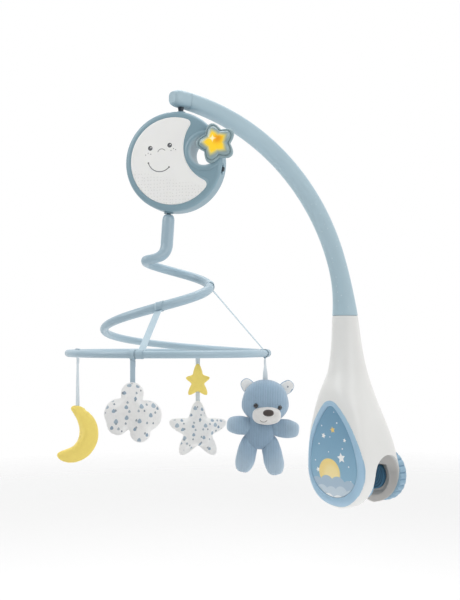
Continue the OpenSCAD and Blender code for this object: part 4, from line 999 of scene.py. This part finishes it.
moon_spot, cloud_spot = hoop_spot(moon_at)[0], hoop_spot(cloud_at)[0] + Vector((0, 0, -67))
small_spot, big_spot = [hoop_spot(star_at)[0] + Vector((0, 0, z)) for z in (-43, -113)]
dress(stuffed("moon_pillow", moon_outline(), 10.2, moon_spot),
      jersey("jersey_yellow_moon", yellow, moon_spot), "moon", "plush_yellow", "moon_toy")
outline = [(cloud_radius(c, s) * c, cloud_radius(c, s) * s) for c, s in circle(180)]
dress(stuffed("cloud_pillow", outline, 12.5, cloud_spot),
      jersey("jersey_cloud", cream, cloud_spot, True), "cloud", "plush_white", "cloud_toy")
dress(stuffed("small_star_pillow", star_outline(26.5, 14.5, narrow=0.34), 7.8, small_spot, 0.0015),
      jersey("jersey_yellow_star", yellow, small_spot), "little_star", "plush_yellow", "small_star")
dress(stuffed("big_star_pillow", star_outline(44, 25.5), 11.5, big_spot),
      jersey("jersey_star", cream, big_spot, True), "great_star", "plush_white", "big_star")

# Teddy bear: head, body, arms and legs sewn of short blue plush and stuffed, with round ears lined in the
# printed cotton, a white muzzle, an embroidered nose and mouth, and two dark bead eyes.
bear_spot, plush_blue = hoop_spot(bear_at)[0] + Vector((0, 0, -33)), "9db6cb"


def in_bear(p):
    """Point of the bear, x to the right as seen, y away, z up from the top of its head."""
    return (bear_spot + p.x * view_right + p.y * view_away + Vector((0, 0, p.z))) * mm


def lump(p, amount, size, seed):
    """Slight lumps of the stuffing."""
    return amount * noise.noise(Vector(p) / size + Vector((seed, seed * 1.7, 0)))


def head_pillow(radii, middle):
    """Stuffed ball with full cheeks, and a seam from the crown down to the muzzle."""
    rings = []
    for k in range(49):
        w = pi * (0.02 + 0.96 * k / 48)
        flat = sin(w) ** 0.92
        ring = []
        for c, s in circle(96):
            d = Vector((flat * c, flat * s, cos(w)))
            p = Vector((d.x * radii[0], d.y * radii[1], d.z * radii[2]))
            p += d * lump(p, 0.6, 14, 3.0)
            p.x *= 1 + exp(-((p.z + 9) / 11) ** 2) * 0.06
            seam = exp(-((p.x - 1.5) / 0.8) ** 2) * max(-d.y + 0.35, 0)
            ring.append(in_bear(middle + (p - d * 0.55 * min(seam, 1))))
        rings.append(ring)
    return loft("bear_head_pillow", rings)


def limb(name, a, b, ra, rb, flat, seed, lumps=0.7, full=0.8, count=56):
    """Stuffed limb from a to b with round ends, drawn in where it is sewn on."""
    a, b = Vector(a), Vector(b)
    d = (b - a).normalized()
    n = Vector((0, 1, 0)).cross(d).normalized()
    m = d.cross(n)
    length = (b - a).length
    rings = []
    for k in range(41):
        w = pi * (0.015 + 0.97 * k / 40)
        share = (1 - cos(w)) / 2
        z = -ra + (length + ra + rb) * share
        r = (ra + (rb - ra) * share) * sin(w) ** full
        ring = []
        for c, s in circle(count):
            p = a + z * d + r * (c * n + flat * s * m)
            side = c * n + s * m
            p = p + side * lump(p, lumps, 11, seed)
            seam = exp(-(s * r / 0.7) ** 2) if k not in (0, 40) else 0
            ring.append(in_bear(p - side * seam * 0.35))
        rings.append(ring)
    return loft(name, rings)


def plush(name, colour, ribs=3.0):
    """Short ribbed plush: fine upright rows of pile, cloudy nap and a soft sheen."""
    mat = Finish(name, colour, roughness=0.92, specular_ior_level=0.12, sheen_weight=0.55,
                 sheen_roughness=0.45)
    hung(mat, bear_spot)
    rows = (mat.x * ribs + 1.6 * mat.grain(1.6)).maths("SINE")
    nap = mat.grain(5, 4.0) * 0.55 + 0.45 * (rows * 0.5 + 0.5)
    mat.base(mat.mix(nap, mat.shade(0.84), mat.shade(1.1)))
    mat.relief(rows * 0.6 + mat.grain(0.5, 4.0) * 0.7, 0.28)
    return mat


def sewn(piece, mat, node, slot="plush_blue"):
    dress(piece, mat, "bear", slot, node)


sewn(head_pillow((28.6, 23.8, 28), Vector((0, 0, -28))), plush("plush_blue", plush_blue), "bear_head")
trunk = limb("bear_body_pillow", (-7, 0, -66), (-5, 0, -52), 21.5, 17, 0.82, 5.0, 0.8)
# The body's plush is painted a darker blue than the head: painted shade under the head.
sewn(trunk, plush("plush_blue_body_painted_shade", "90a9bf"), "bear_body")
paws = plush("plush_blue_limbs", plush_blue)
# The limbs are painted paler away from the body's middle: painted light on their ends, painted shade near
# the body.
paws.paint(paws.ramp(far(paws, -5, -66), 24, 50) * 0.55, "bfd1de")
for name, a, b, ra, rb, seed in (
        ("bear_left_arm", (-22, -3, -58), (-36, -5, -56.5), 11, 12.3, 7),
        ("bear_right_arm", (14, -3, -60), (30, -5, -62), 11, 12.3, 9),
        ("bear_left_leg", (-20.5, -1, -80), (-26, -4, -103), 11.5, 13, 11),
        ("bear_right_leg", (6, -1, -80), (11.5, -4, -106), 11.5, 13.5, 13)):
    sewn(limb(name + "_pillow", a, b, ra, rb, 0.86, seed, full=0.6), paws, name)
halves = []
for x, z, lean in ((-21.5, -8.5, -38), (26.5, -10.5, 48)):
    out = Vector((sin(radians(lean)), 0, cos(radians(lean))))
    middle = Vector((x, 4, z))
    halves.append(limb("ear", middle - out, middle + 2 * out, 8.4, 8.5, 0.5, 15 + x))
pick(*halves)
bpy.ops.object.join()
ears = halves[0]
ears.name = "bear_ears_pair"
lining = Finish("ear_lining", "eff0ef", roughness=0.9, specular_ior_level=0.15, sheen_weight=0.3)
hung(lining, bear_spot + 20 * view_away)
lining.cloudy(3, "e6e7e6", "f3f3f2")
drop_print(lining)
lining.relief(lining.grain(0.5, 3.0), 0.1)
sewn(ears, plush("ear_plush", plush_blue), "bear_ears")
ears.data.materials.append(lining.material)
for face in ears.data.polygons:
    if face.normal.dot(view_away) < -0.72:
        face.material_index = 1
muzzle = limb("bear_muzzle_pillow", (-5, -19, -43.5), (7, -19, -43.5), 11.6, 11.6, 0.95, 17.0, 0.4, 0.7)
snout = plush("plush_white", "f2f1ef", 6.0)
mouth_keep = snout.ramp(snout.y, -48.4, -49.0) * snout.ramp(snout.deep, -24, -26)
snout.paint(arc_line(snout, -3.2, -46.0, 5.0, 0.4, mouth_keep), "8a8480")
sewn(muzzle, snout, "bear_muzzle", "plush_white")
nose = limb("bear_nose_patch", (0.4, -28.6, -39.8), (5, -28.6, -39.8), 4.4, 4.4, 0.75, 19.0, 0.2, count=36)
thread = Finish("nose_thread", "453a36", roughness=0.6, sheen_weight=0.3)
threads = (thread.along(view_right) * 11.0).maths("SINE") * 0.5 + 0.5
thread.base(thread.mix(threads, "332a28", "51443e"))
thread.relief(threads, 0.2)
dress(nose, thread, "bear", "nose_brown", "bear_nose")
bead = Finish("eye_bead", "2a2a2d", specular_ior_level=0.6, coat_weight=0.6, coat_roughness=0.05)
bead.rough(0.12, 0.08, 1)
bead.on("bear_eyes")
